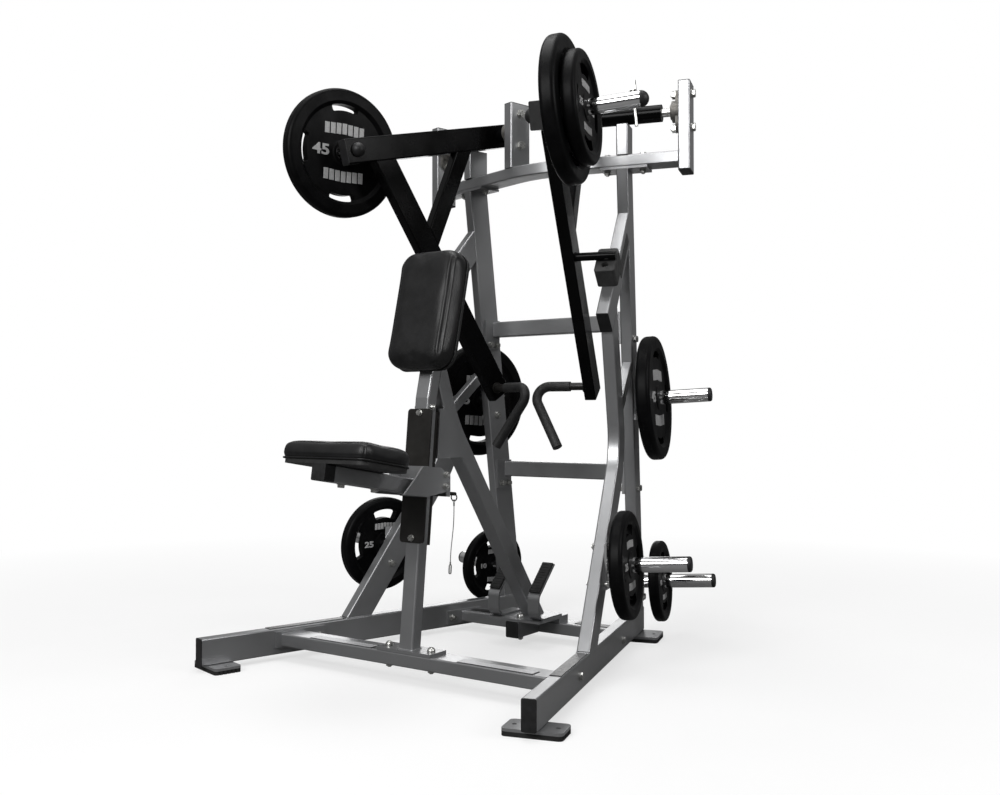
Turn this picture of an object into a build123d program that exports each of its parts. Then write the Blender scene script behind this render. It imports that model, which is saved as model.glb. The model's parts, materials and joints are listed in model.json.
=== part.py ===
"""Plate-loaded low row machine with two independent arms.

Millimetres, +Z up, the user faces +Y. The origin is on the floor, under the middle of the whole machine.
Each side frame stands in its own vertical plane, splayed from straight back. Inside that plane's frame,
X is the distance outward, Y the distance along the base rail from its front, and Z the height.
"""
from build123d import *
from math import cos, radians, sin, tan
import os

os.makedirs("parts", exist_ok=True)

# ---- driving dimensions ----
RAIL_FRONT_X = 634.6      # half the distance between the rails' front ends
SPLAY = 15.37             # degrees each side frame turns in towards the back
FRONT_Y = -662.85         # the rails' front ends, seen from the origin
TUBE_W = 42.0             # frame tube, across its side frame
TUBE_D = 87.0             # frame tube, along its side frame
WALL = 3.0
CORNER = 5.0              # outside corner radius of every tube
CAP = 3.0                 # lid thickness of a plastic end cap
REACH = 6000.0            # larger than the machine

PAD_H = 12.6              # rubber foot pad
FOOT_H = 20.6             # rubber pad and steel plate
RAIL_L = 1380.0
RAIL_MID_Z = FOOT_H + TUBE_D / 2
RAIL_TOP_Z = FOOT_H + TUBE_D

UPRIGHT_LEAN = 6.35       # degrees forward
UPRIGHT_MID = (1209.5, 1150.0)
FLANGE_Z = 1709.0         # underside of the plates below the top beam
BEAM_Z = 1717.5
BEAM_H = 42.5
BEAM_A = 1153.5           # top beam's middle, along the rail
POST_TOP_Z = 2004.0
PIVOT = (1156.0, 1908.0)  # arm pivot: along the rail, height

STOP_ARM_END = (830.0, 1133.5)
STOP_ARM_TILT = 50.3
STOP_ARM_DIR = (cos(radians(STOP_ARM_TILT)), sin(radians(STOP_ARM_TILT)))
LEG_POINTS = [(582.2, 86.5), (1026.4, 700.2), (861.6, 1314.0)]
LEG_BEND = 230.0

SHAFT_R = 15.0
RUNNING = 0.05            # radial clearance of a shaft in its bearing
HORN_R = 25.0
HORN_TILT = 3.3           # degrees the horns rise outwards
PLATE_BORE_R = 25.6

POST_W = 54.0
POST_D = 45.0
POST_FOOT = (276.0, 105.0)
POST_LEAN = 5.88
POST_BEND_Z = 885.0
PAD_LEAN = 13.65          # chest pad and upper post, from vertical

SEAT_TILT = 9.0           # the seat falls towards the post
SEAT_FRONT = (-104.0, 694.2)
CARRIAGE_X = 52.0         # inner faces of the seat carriage's side plates


# ---- frames and small helpers ----
RIGHT = Pos(RAIL_FRONT_X, 0, 0) * Rot(0, 0, SPLAY)


def right(shape):
    """From the side frame's own frame to the right side of the machine."""
    return RIGHT * shape


def left(shape):
    """The mirror image of the right side."""
    return mirror(RIGHT * shape, about=Plane.YZ)


def both(shape):
    """The same piece on both sides."""
    return [right(shape), left(shape)]


def save(name, *shapes):
    """Write one node; the rails' front ends move from Y = 0 to FRONT_Y."""
    solids = [solid for shape in shapes for solid in shape.solids()]
    node = Pos(0, FRONT_Y, 0) * Compound(solids)
    export_step(node, f"parts/{name}.step")


def save_pair(name, shape):
    """Write a left and a right node of one piece."""
    save(f"{name}_left", left(shape))
    save(f"{name}_right", right(shape))


def section(width, depth, wall=WALL, corner=CORNER):
    """Tube section with rounded corners; a wall of zero makes it solid."""
    outside = RectangleRounded(width, depth, corner)
    if not wall:
        return outside
    return outside - RectangleRounded(width - 2 * wall, depth - 2 * wall, corner - wall)


def member(points, width=TUBE_W, depth=TUBE_D, wall=WALL, bend=0.0, x=0.0):
    """Tube along points (y, z) in the plane at x, its width across that plane."""
    path = [Vector(x, y, z) for y, z in points]
    line = FilletPolyline(*path, radius=bend) if bend else Line(*path)
    start = Plane(origin=line @ 0, x_dir=(1, 0, 0), z_dir=line % 0)
    return sweep(start * section(width, depth, wall), path=line)


def cut_beyond(shape, origin, direction):
    """Remove everything on the far side of a plane, the side its direction points to."""
    plane = Plane(origin=origin, z_dir=direction)
    return shape - plane.location * Pos(0, 0, REACH / 2) * Box(REACH, REACH, REACH)


def block(x, y, z):
    """Box between pairs of coordinates."""
    return Pos(sum(x) / 2, sum(y) / 2, sum(z) / 2) * Box(x[1] - x[0], y[1] - y[0], z[1] - z[0])


def prism(points, x):
    """Plate with an outline of points (y, z), from x[0] to x[1]."""
    outline = make_face(Polyline(*[(x[0], y, z) for y, z in points], close=True))
    return extrude(outline, amount=x[1] - x[0], dir=(1, 0, 0))


def along(origin, direction, x_dir=(0, 0, 1)):
    """Location whose own Z points in a direction."""
    return Plane(origin=origin, x_dir=x_dir, z_dir=direction).location


def rod(spot, radius, start, end):
    """Round bar on a location's Z axis."""
    return spot * Pos(0, 0, (start + end) / 2) * Cylinder(radius, end - start)


def end_cap(spot, width=TUBE_W, depth=TUBE_D, lid=CAP):
    """Plastic tube cap: a lid on the tube's end and a plug inside it."""
    cover = extrude(RectangleRounded(width, depth, CORNER), amount=lid)
    cover = fillet(cover.faces().sort_by(Axis.Z)[-1].edges(), 1.2)
    plug = extrude(RectangleRounded(width - 2 * WALL - 0.4, depth - 2 * WALL - 0.4, 1.8), amount=-12)
    return spot * (cover + plug)


def bolt(spot, grip, size=12.0, domed=False):
    """Bolt with two washers and a nut: its head stands on the location, its nut is grip below."""
    washer = Cylinder(size * 1.05, 2)
    shank = Pos(0, 0, -grip / 2) * Cylinder(size / 2, grip)
    if domed:
        cap = Sphere(size * 1.1) & Pos(0, 0, size) * Box(4 * size, 4 * size, 2 * size)
        head = Pos(0, 0, 2) * cap
    else:
        head = Pos(0, 0, 2) * extrude(RegularPolygon(size * 0.95, 6), amount=size * 0.65)
    nut = Pos(0, 0, -grip - 2) * extrude(RegularPolygon(size * 0.95, 6), amount=-size * 0.8)
    tip = Pos(0, 0, -grip - 2 - size * 0.95) * Cylinder(size / 2, size * 0.3)
    return spot * (Pos(0, 0, 1) * washer + shank + head + Pos(0, 0, -grip - 1) * washer + nut + tip)


def screw(spot, length, size=12.0):
    """Hex screw with one washer, threaded into the last piece it passes."""
    washer = Cylinder(size * 1.05, 2)
    shank = Pos(0, 0, -length / 2) * Cylinder(size / 2, length)
    head = Pos(0, 0, 2) * extrude(RegularPolygon(size * 0.95, 6), amount=size * 0.65)
    return spot * (Pos(0, 0, 1) * washer + shank + head)


def hole(spot, grip, size=12.0):
    """The clearance hole that such a bolt needs."""
    return rod(spot, size / 2 + 0.3, -grip - 1, 1)


# ---- side frames ----
def rail():
    return member([(CAP, RAIL_MID_Z), (RAIL_L - CAP, RAIL_MID_Z)])


def upright_y(z):
    """Middle of the rear upright at a height."""
    return UPRIGHT_MID[0] - (z - UPRIGHT_MID[1]) * tan(radians(UPRIGHT_LEAN))


def upright(wall=WALL):
    """Rear upright, from the rail's top to the flange plate."""
    long = member([(upright_y(-100), -100), (upright_y(1900), 1900)], wall=wall)
    return long & block((-100, 100), (900, 1600), (RAIL_TOP_Z, FLANGE_Z))


def upright_front():
    """A point and the rearward normal of the upright's front face."""
    lean = radians(UPRIGHT_LEAN)
    normal = (0, cos(lean), sin(lean))
    point = (0, UPRIGHT_MID[0] - TUBE_D / 2 * cos(lean), UPRIGHT_MID[1] - TUBE_D / 2 * sin(lean))
    return point, normal


def stop_arm_point(distance, out=0.0):
    """Point on the stop arm's middle line, or out from it towards its front face."""
    y = STOP_ARM_END[0] + distance * STOP_ARM_DIR[0] - out * STOP_ARM_DIR[1]
    z = STOP_ARM_END[1] + distance * STOP_ARM_DIR[1] + out * STOP_ARM_DIR[0]
    return (y, z)


def stop_arm():
    arm = member([stop_arm_point(CAP), stop_arm_point(700)])
    return cut_beyond(arm, *upright_front())


def front_leg():
    leg = member(LEG_POINTS, bend=LEG_BEND)
    leg = cut_beyond(leg, (0, 0, RAIL_TOP_Z), (0, 0, -1))
    underside = stop_arm_point(0, -TUBE_D / 2)
    return cut_beyond(leg, (0, *underside), (0, -STOP_ARM_DIR[1], STOP_ARM_DIR[0]))


def side_strut():
    """Short tube from the front leg back and up to the upright."""
    strut = member([(930, 764), (1280, 1088)], width=36, depth=38)
    strut = cut_beyond(strut, *upright_front())
    return (strut - member(LEG_POINTS, wall=0, bend=LEG_BEND)).solids().sort_by(Axis.Y)[-1]


def top_beam():
    """One bent tube across both side frames, level, its ends against the outer posts."""
    outer = RIGHT * Pos(199, BEAM_A, 0)
    tip = outer.position
    along_x = cos(radians(SPLAY))
    along_y = sin(radians(SPLAY))
    apex_y = tip.Y - tip.X * along_y / along_x
    z = BEAM_Z + BEAM_H / 2
    line = FilletPolyline((-tip.X, tip.Y, z), (0, apex_y, z), (tip.X, tip.Y, z), radius=450)
    start = Plane(origin=line @ 0, x_dir=(0, 0, 1), z_dir=line % 0)
    return sweep(start * section(BEAM_H, TUBE_D), path=line)


def foot(y, half_width, extra_corner=14.0):
    """Foot plate or pad outline: a rounded rectangle from y[0] to y[1]."""
    shape = RectangleRounded(2 * half_width, y[1] - y[0], extra_corner)
    holes = [Pos(side * (half_width - 24), 0) * Circle(6.5) for side in (-1, 1)]
    return Pos(0, sum(y) / 2, 0) * (shape - holes[0] - holes[1])


FEET = [((20, 112), 84.0), ((1241, 1377), 96.0)]


def foot_plates():
    return [Pos(0, 0, PAD_H) * extrude(foot(y, half), amount=FOOT_H - PAD_H) for y, half in FEET]


def foot_pads():
    """Rubber pads with ribs along their lower edge."""
    pads = []
    for y, half in FEET:
        pad = extrude(foot(y, half), amount=PAD_H)
        for groove_y in range(int(y[0]) + 14, int(y[1]) - 8, 14):
            for side in (-1, 1):
                pad -= Pos(side * half, groove_y, 4) * Box(6, 5, 20)
        pads.append(pad)
    return pads


def outer_post():
    return extrude(Pos(220, 1156, 1695) * section(42, 94), amount=POST_TOP_Z - 1695)


def inner_post():
    z = BEAM_Z + BEAM_H
    return extrude(Pos(-239, 1156, z) * section(42, 94), amount=POST_TOP_Z - z)


STUB_H = 108.0


def stub_post():
    """Short post on the beam above the upright, closed at its top."""
    return extrude(Pos(0, 1147, BEAM_Z + BEAM_H) * section(TUBE_W, TUBE_D), amount=STUB_H)


def flange_plate():
    return block((-81, 90), (1107, 1200), (FLANGE_Z, BEAM_Z))


BEAM_BOLTS = [along((x, 1147, BEAM_Z + BEAM_H), (0, 0, 1), (1, 0, 0)) for x in (-62, 68)]
BEAM_GRIP = BEAM_H + BEAM_Z - FLANGE_Z

BEARING_HOLES = [PIVOT[1] - 60, PIVOT[1] + 60]
OUTER_BEARING_BOLTS = [along((241, PIVOT[0], z), (1, 0, 0)) for z in BEARING_HOLES]
INNER_BEARING_BOLTS = [along((-260, PIVOT[0], z), (-1, 0, 0)) for z in BEARING_HOLES]
BEARING_GRIP = 54.0


def bearing(face_x, inward):
    """Two-bolt flange bearing: its flange lies on the post, its boss points inward along X."""
    flat = RectangleRounded(150, 62, 30)
    boss = Circle(38)
    body = extrude(flat, amount=12) + extrude(boss, amount=26) + extrude(Circle(27), amount=32)
    body -= Cylinder(SHAFT_R + RUNNING, 200)
    for side in (-1, 1):
        body -= Pos(side * 60, 0, 0) * Cylinder(8.3, 60)
    return along((face_x, *PIVOT), (inward, 0, 0)) * body


# ---- cross members ----
RAIL_FACE = -TUBE_W / 2
BEAM_FLANGE = 10.0


def between_frames(shape, gap=0.0):
    """Keep only what lies between the two side frames' inner faces."""
    inside_face = RAIL_FACE - gap
    outside = right(block((inside_face, REACH), (-REACH, REACH), (-REACH, REACH)))
    return shape - outside - mirror(outside, about=Plane.YZ)


def cross_tube(y, z):
    """Level tube across the machine, cut to the side frames with room for its end flanges."""
    start = Plane(origin=(-800, sum(y) / 2, sum(z) / 2), x_dir=(0, 1, 0), z_dir=(1, 0, 0))
    tube = extrude(start * section(y[1] - y[0], z[1] - z[0]), amount=1600)
    return between_frames(tube, BEAM_FLANGE)


def end_flange(y, z):
    """Plate on a side frame's inner face that a cross tube is welded to."""
    return block((RAIL_FACE - BEAM_FLANGE, RAIL_FACE), y, z)


RAIL_BOLTS = [along((TUBE_W / 2, y, z), (1, 0, 0)) for y, z in ((431, 66), (1010, 55))]
CROSSBAR_BOLTS = [along((TUBE_W / 2, upright_y(1108) + step, 1108), (1, 0, 0)) for step in (-16, 16)]
LOWER_BAR_BOLTS = [along((TUBE_W / 2, upright_y(560) + step, 560), (1, 0, 0)) for step in (-16, 16)]
FLANGE_GRIP = TUBE_W + BEAM_FLANGE

FRONT_BEAM = ((264, 351), (49, 91))
REAR_BEAM = ((1010, 1097), (35.5, 77))
UPPER_BAR = ((1160, 1200), (1139, 1199))
LOWER_BAR = ((1218, 1258), (587, 647))


# ---- seat post, brace and seat ----
def rise(lean):
    """Direction up a member that leans back, and the normal of its front face."""
    turn = radians(lean)
    return (0, sin(turn), cos(turn)), (0, -cos(turn), sin(turn))


POST_UP, POST_OUT = rise(POST_LEAN)
PAD_UP, PAD_OUT = rise(PAD_LEAN)
POST = Plane(origin=(0, *POST_FOOT), x_dir=(1, 0, 0), z_dir=POST_OUT).location
BEND_Y = POST_FOOT[0] + (POST_BEND_Z - POST_FOOT[1]) * tan(radians(POST_LEAN))
PAD = Plane(origin=(0, BEND_Y, POST_BEND_Z), x_dir=(1, 0, 0), z_dir=PAD_OUT).location
SEAT = Plane(origin=(0, *SEAT_FRONT), x_dir=(1, 0, 0),
             z_dir=(0, sin(radians(SEAT_TILT)), cos(radians(SEAT_TILT)))).location
BASE_TOP = 101.0


def on_post(x, u, n):
    """Box on the seat post: across, up along its front face, out from that face."""
    return POST * block(x, u, n)


def post_rod(u, n, radius, x):
    """Round bar across the machine, at a place on the seat post."""
    return POST * Pos(0, u, n) * Rot(0, 90, 0) * Pos(0, 0, sum(x) / 2) * Cylinder(radius, x[1] - x[0])


def post_tube(place, length, wall):
    """Post tube whose front face starts at a location and rises along its Y."""
    tube = extrude(Plane.XZ.offset(60) * Pos(0, -POST_D / 2) * section(POST_W, POST_D, wall), amount=-length - 60)
    return place * tube


def seat_post(wall=WALL):
    """Lower post and, above the bend, the leaning upper post that carries the chest pad."""
    lower = cut_beyond(post_tube(POST, 1000, wall), (0, 0, BASE_TOP), (0, 0, -1))
    half = (POST_LEAN + PAD_LEAN) / 2
    up, _ = rise(half)
    joint = (0, BEND_Y, POST_BEND_Z)
    lower = cut_beyond(lower, joint, up)
    upper = cut_beyond(post_tube(PAD, 425, wall), joint, (0, -up[1], -up[2]))
    return lower, upper


BRACE_POINTS = [(1065.7, 25.7), (494.2, 795.3), (404.7, 1025.3)]
BRACE_W = 54.0
BRACE_D = 60.0
BRACE_BEND = 500.0
PLATFORM_Z = (93.0, 101.0)


def main_brace():
    brace = member(BRACE_POINTS, BRACE_W, BRACE_D, bend=BRACE_BEND)
    brace = cut_beyond(brace, (0, 0, PLATFORM_Z[1]), (0, 0, -1))
    rear = PAD * Pos(0, 0, -POST_D)
    brace = cut_beyond(brace, rear.position, PAD_OUT)
    return cut_beyond(brace, (POST * Pos(0, 0, -POST_D)).position, POST_OUT)


def gussets():
    """Two plates that fill the corner between the post and the brace."""
    plates = []
    for x in ((-27, -21), (21, 27)):
        plate = prism([(330, 690), (545, 690), (470, 850), (330, 850)], x)
        plate = cut_beyond(plate, (POST * Pos(0, 0, RACK_N[0])).position, POST_OUT)
        plate -= member(BRACE_POINTS, BRACE_W, BRACE_D, wall=0, bend=BRACE_BEND)
        plates.append(plate.solids().sort_by(Axis.Y)[0])
    return plates


GUARD_U = (325.7, 748.0)
GUARD_T = 5.0
RACK_N = (-POST_D - 20.0, -POST_D)
RACK_U = (320.0, 745.0)
NOTCH_PITCH = 25.0
PLUNGER_U = 487.3


def post_guard():
    """Black wear plate on the post's front, wider than the post."""
    outline = RectangleRounded(96, GUARD_U[1] - GUARD_U[0], 12)
    plate = extrude(Pos(0, sum(GUARD_U) / 2) * outline, amount=GUARD_T)
    for u in GUARD_BOLTS_U:
        plate -= Pos(0, u, 0) * Cylinder(5.3, 40)
    return POST * plate


GUARD_BOLTS_U = (GUARD_U[0] + 15, GUARD_U[1] - 13)


def adjustment_rack():
    """Bar down the post's back, with a row of notches for the plunger."""
    bar = on_post((-20, 20), RACK_U, RACK_N)
    steps = range(-6, 10)
    for step in steps:
        u = PLUNGER_U + step * NOTCH_PITCH
        if RACK_U[0] + 12 < u < RACK_U[1] - 12:
            bar -= POST * Pos(0, u, RACK_N[0]) * Cylinder(7.2, 16)
    for u in GUARD_BOLTS_U:
        bar -= POST * Pos(0, u, RACK_N[0]) * Cylinder(5.3, 100)
    return bar


POST_BOLT = POST * Pos(POST_W / 2, 755, -22) * Rot(0, 90, 0)


def guard_bolts():
    """Screws through the guard and the post into the rack."""
    screws = []
    for u in GUARD_BOLTS_U:
        spot = POST * Pos(0, u, GUARD_T)
        screws.append(screw(spot, GUARD_T - RACK_N[0] - 2, 10))
    return screws


def post_with_holes():
    lower, upper = seat_post()
    for u in GUARD_BOLTS_U:
        lower -= POST * Pos(0, u, 0) * Cylinder(5.3, 200)
    return cut_holes(lower, [POST_BOLT], POST_W, 10), upper


# ---- chest pad, foot rests ----
PAD_U = (80.0, 477.0)
PAD_W = 244.0
PAD_CORNER = 58.0
PAD_BOARD_T = 12.0
PAD_CUSHION_T = 67.0


def chest_pad():
    """Soft block on the board, plain and closed."""
    outline = Pos(0, sum(PAD_U) / 2) * RectangleRounded(PAD_W, PAD_U[1] - PAD_U[0], PAD_CORNER)
    pad = extrude(outline, amount=PAD_CUSHION_T)
    pad = fillet(pad.faces().sort_by(Axis.Z)[-1].edges(), 16)
    return PAD * Pos(0, 0, PAD_BOARD_T) * pad


def chest_board():
    outline = Pos(0, sum(PAD_U) / 2) * RectangleRounded(PAD_W - 14, PAD_U[1] - PAD_U[0] - 14, PAD_CORNER - 7)
    return PAD * extrude(outline, amount=PAD_BOARD_T)


FOOT_REST_X = (62.0, 108.0)
FOOT_REST_PATH = [(1036, 104.5), (881, 104.5), (881, 187), (986, 292)]
FOOT_REST_BENDS = (34.0, 30.0)
FOOT_REST_T = 7.0


def foot_rest():
    """Bent flat bar: a leg on the platform, an upright web and a sloping tread."""
    line = FilletPolyline(*[Vector(85, y, z) for y, z in FOOT_REST_PATH], radius=FOOT_REST_BENDS)
    start = Plane(origin=line @ 0, x_dir=(1, 0, 0), z_dir=line % 0)
    bar = Rectangle(FOOT_REST_X[1] - FOOT_REST_X[0], FOOT_REST_T)
    return sweep(start * bar, path=line)


def foot_rest_grip():
    """Rubber tread on the sloping part's front face."""
    direction = Vector(0, 1, 1).normalized()
    normal = Vector(0, -1, 1).normalized()
    spot = Plane(origin=(85, 881, 187), x_dir=(1, 0, 0), z_dir=normal).location
    tread = block((-21, 21), (14, 146), (FOOT_REST_T / 2, FOOT_REST_T / 2 + 9))
    for step in range(12):
        tread -= Pos(0, 18 + step * 11.5, FOOT_REST_T / 2 + 9) * Box(50, 3, 3)
    return spot * tread


def platform():
    """Plate under the foot rests and the brace, with a spacer down to the rear beam."""
    plate = block((-112, 112), (876, 1072), PLATFORM_Z)
    spacer = block((-112, 112), (1012, 1072), (REAR_BEAM[1][1], PLATFORM_Z[0]))
    return plate, spacer


PLATFORM_BOLTS = [along((0, 925, PLATFORM_Z[1]), (0, 0, 1), (1, 0, 0))]
PLATFORM_GRIP = PLATFORM_Z[1] - 35.0
BASE_BOLTS = [along((x, 300, BASE_TOP), (0, 0, 1), (1, 0, 0)) for x in (-84, 84)]
BASE_GRIP = BASE_TOP - FRONT_BEAM[1][0]


# ---- weight plates and horns ----
class Disc:
    """Sizes of one weight plate."""

    def __init__(self, mark, radius, thickness, slot_low, slot_high, half_angle, hub_r):
        self.mark = mark
        self.radius = radius
        self.thickness = thickness
        self.slot_low = slot_low
        self.slot_high = slot_high
        self.half_angle = half_angle
        self.hub_r = hub_r


DISC_45 = Disc(45, 225.0, 51.0, 148.0, 170.0, 19.0, 42.0)
DISC_25 = Disc(25, 174.0, 45.0, 98.0, 130.0, 24.0, 40.0)
DISC_10 = Disc(10, 147.0, 39.0, 80.0, 106.0, 25.0, 36.0)
RIM = 0.78                # where the raised rim begins, of the radius


def weight_plate(disc):
    """Plate about Z with a rounded rim, a thinner web, a hub and four hand slots."""
    half = disc.thickness / 2
    web = half * 0.6
    rim = disc.radius * RIM
    hub = half * 0.74
    upper = [(PLATE_BORE_R, hub), (disc.hub_r, hub), (disc.hub_r + 5, web), (rim - 8, web), (rim + 6, half),
             (disc.radius, half)]
    lower = [(r, -z) for r, z in reversed(upper)]
    profile = make_face(Plane.XZ * Polyline(*upper, *lower, close=True))
    edge = [corner for corner in profile.vertices() if corner.X > disc.radius - 1]
    body = revolve(fillet(edge, half * 0.6), axis=Axis.Z)
    opening = Circle(disc.slot_high) - Circle(disc.slot_low)
    spread = tan(radians(disc.half_angle)) * disc.slot_high * 1.3
    opening &= Polygon((0, 0), (-spread, disc.slot_high * 1.3), (spread, disc.slot_high * 1.3), align=None)
    opening = fillet(opening.vertices(), 6)
    cutter = extrude(opening, amount=disc.thickness, both=True)
    for turn in range(4):
        body -= Rot(0, 0, 90 * turn) * cutter
    return body


def horn_place(y, z, x):
    """On a horn's axis, x outward from the side frame's middle; the horn's Z points outward."""
    tilt = radians(HORN_TILT)
    return Plane(origin=(x, y, z + x * tan(tilt)), x_dir=(0, 1, 0), z_dir=(cos(tilt), 0, sin(tilt))).location


STORAGE = [
    (1236.5, 886.9, 89.0, DISC_45),
    (768.0, 342.9, 88.0, DISC_25),
    (1314.0, 211.5, 96.0, DISC_10),
]
STORAGE_END = 285.0
HORN_FLANGE = (21.0, 29.0)
HORN_BOLT_SPREAD = 56.0


def groove(spot, start):
    """Shallow turned ring that ends the stretch where plates already hang."""
    return rod(spot, HORN_R + 1, start - 2, start) - rod(spot, HORN_R - 0.5, start - 3, start + 1)


STORAGE_GROOVE = 120.0
ARM_GROOVE = 161.0


def storage_horn(y, z):
    """Flange plate on the frame's outer face with a chrome sleeve welded to it."""
    plate = block(HORN_FLANGE, (y - 32, y + 32), (z - 74, z + 74))
    sleeve = rod(horn_place(y, z, 0), HORN_R, HORN_FLANGE[0] + 1, STORAGE_END)
    sleeve = cut_beyond(sleeve, (HORN_FLANGE[1], 0, 0), (-1, 0, 0))
    sleeve -= rod(horn_place(y, z, 0), HORN_R - 4, 45, STORAGE_END + 1)
    sleeve -= groove(horn_place(y, z, 0), STORAGE_GROOVE)
    for spot in horn_bolts(y, z):
        plate -= hole(spot, TUBE_W + 8)
    return plate + sleeve


def horn_bolts(y, z):
    """Two bolts above and below a horn, through its flange and the frame tube."""
    lean = tan(radians(UPRIGHT_LEAN)) if y > 900 else -tan(radians(35.9))
    steps = (-HORN_BOLT_SPREAD, HORN_BOLT_SPREAD)
    return [along((HORN_FLANGE[1], y - step * lean * 0.8, z + step), (1, 0, 0)) for step in steps]


def horn_cap(spot, length, radius):
    """Rounded plastic end on a horn: lid and plug."""
    lid = Cylinder(radius, length, align=(Align.CENTER, Align.CENTER, Align.MIN))
    lid = fillet(lid.faces().sort_by(Axis.Z)[-1].edges(), length * 0.6)
    plug = Pos(0, 0, -10) * Cylinder(HORN_R - 4.2, 20)
    return spot * (lid + plug)


# ---- arms ----
BAR_TILT = 14.0
ARM_X = -123.0
ARM_FACE_OUT = ARM_X + TUBE_W / 2
ARM_FACE_IN = ARM_X - TUBE_W / 2
BAR_DIR = (cos(radians(BAR_TILT)), sin(radians(BAR_TILT)))
BAR_FRONT = -711.0
BAR_REAR = 46.0
DIAG_FOOT = (1164.0, 909.5)
DIAG_TILT = 123.2
DIAG_DIR = (cos(radians(DIAG_TILT)), sin(radians(DIAG_TILT)))
V_MID = (897.8, 1625.8)
V_TILT = 67.8
V_DIR = (cos(radians(V_TILT)), sin(radians(V_TILT)))
STOP_TUBE = (850.0, 1360.0)
STOP_TUBE_R = 14.0
HORN_A = 508.0


def bar_point(distance, up=0.0):
    """Point on the arm bar's middle line, from the pivot; up is towards its top face."""
    return (PIVOT[0] + distance * BAR_DIR[0] - up * BAR_DIR[1], PIVOT[1] + distance * BAR_DIR[1] + up * BAR_DIR[0])


def arm_frame():
    """Bar, diagonal, short leg between them, hub tube and stop tube."""
    bar = member([bar_point(BAR_FRONT), bar_point(BAR_REAR)], x=ARM_X)
    bar -= rod(along((0, *PIVOT), (1, 0, 0)), SHAFT_R + 0.2, -400, 400)
    bar -= rod(arm_horn_place(ARM_X), HORN_R + 0.2, -60, 60)
    top = [DIAG_FOOT[0] + 1200 * DIAG_DIR[0], DIAG_FOOT[1] + 1200 * DIAG_DIR[1]]
    diagonal = member([DIAG_FOOT, top], x=ARM_X)
    under_bar = bar_point(0, -TUBE_D / 2)
    diagonal = cut_beyond(diagonal, (ARM_X, *under_bar), (0, -BAR_DIR[1], BAR_DIR[0]))
    start = (V_MID[0] - 330 * V_DIR[0], V_MID[1] - 330 * V_DIR[1])
    end = (V_MID[0] + 330 * V_DIR[0], V_MID[1] + 330 * V_DIR[1])
    leg = member([start, end], depth=61, x=ARM_X)
    leg = cut_beyond(leg, (ARM_X, *under_bar), (0, -BAR_DIR[1], BAR_DIR[0]))
    behind = (DIAG_FOOT[0] + TUBE_D / 2 * DIAG_DIR[1], DIAG_FOOT[1] - TUBE_D / 2 * DIAG_DIR[0])
    leg = cut_beyond(leg, (ARM_X, *behind), (0, -DIAG_DIR[1], DIAG_DIR[0]))
    across = along((0, *PIVOT), (1, 0, 0))
    hub = rod(across, 30.5, ARM_FACE_OUT, 135) - rod(across, SHAFT_R + 0.2, -400, 400)
    collar = rod(across, 24, -178, ARM_FACE_IN) - rod(across, SHAFT_R + 0.2, -400, 400)
    stop = rod(along((0, *STOP_TUBE), (1, 0, 0)), STOP_TUBE_R, ARM_FACE_OUT, 36)
    return [bar, diagonal, leg, hub, collar, stop]


def arm_horn_place(x):
    """On the weight horn's axis, x from the side frame's middle."""
    return horn_place(HORN_A, 1757.0, x)


HORN_OUT = 190.0
HORN_IN = ARM_FACE_IN - 2.0


def weight_horn():
    """Chrome sleeve through the arm bar, with a stop collar for the plates."""
    place = arm_horn_place(ARM_X)
    sleeve = rod(place, HORN_R, HORN_IN - ARM_X, HORN_OUT - ARM_X)
    collar = rod(place, 38, -70 - ARM_X, -64.3 - ARM_X)
    sleeve -= groove(place, ARM_GROOVE)
    return sleeve + collar - rod(place, HORN_R - 4, HORN_OUT - ARM_X - 30, HORN_OUT - ARM_X + 1)


def pivot_shaft():
    return rod(along((0, *PIVOT), (1, 0, 0)), SHAFT_R, -216, 197)


def arm_end_caps():
    """Caps on the bar's two ends, the diagonal's foot and both ends of the horn."""
    front = along((ARM_X, *bar_point(BAR_FRONT)), (0, -BAR_DIR[0], -BAR_DIR[1]), (1, 0, 0))
    rear = along((ARM_X, *bar_point(BAR_REAR)), (0, *BAR_DIR), (1, 0, 0))
    foot_end = along((ARM_X, *DIAG_FOOT), (0, -DIAG_DIR[0], -DIAG_DIR[1]), (1, 0, 0))
    ball = Sphere(HORN_R) & Pos(0, 0, 40) * Box(80, 80, 80)
    plug = Pos(0, 0, -10) * Cylinder(HORN_R - 4.2, 20)
    outer = arm_horn_place(ARM_X) * Pos(0, 0, HORN_OUT - ARM_X) * (ball + plug)
    inner = arm_horn_place(ARM_X) * Pos(0, 0, HORN_IN - ARM_X) * Rot(180, 0, 0) * ball
    return [end_cap(front), end_cap(rear), end_cap(foot_end), outer, inner]


HANDLE_START = (ARM_FACE_IN, 1135.0, 934.0)
HANDLE_CORNER = (-352.0, 1135.0, 934.0)
HANDLE_END = (-230.0, 1064.6, 719.0)
HANDLE_BEND = 45.0
GRIP_START = 55.0         # bare bar between the arm and the rubber


def handle_line():
    return FilletPolyline(HANDLE_START, HANDLE_CORNER, HANDLE_END, radius=HANDLE_BEND)


def swept(line, section_shape):
    start = Plane(origin=line @ 0, z_dir=line % 0)
    return sweep(start * section_shape, path=line)


def handle():
    """Bent steel bar welded to the arm, with a disc against the arm's face."""
    bar = swept(handle_line(), Circle(14))
    disc = rod(along(HANDLE_START, (-1, 0, 0)), 21, 0, 6)
    return bar + disc


def grip():
    """Rubber sleeve over the bent bar, closed at its end."""
    line = handle_line()
    tail = (Vector(*HANDLE_END) - Vector(*HANDLE_CORNER)).normalized()
    start = (ARM_FACE_IN - GRIP_START, HANDLE_START[1], HANDLE_START[2])
    beyond = Vector(*HANDLE_END) + tail * 6
    cover = FilletPolyline(start, HANDLE_CORNER, tuple(beyond), radius=HANDLE_BEND)
    return swept(cover, Circle(18)) - swept(line, Circle(14))


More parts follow.
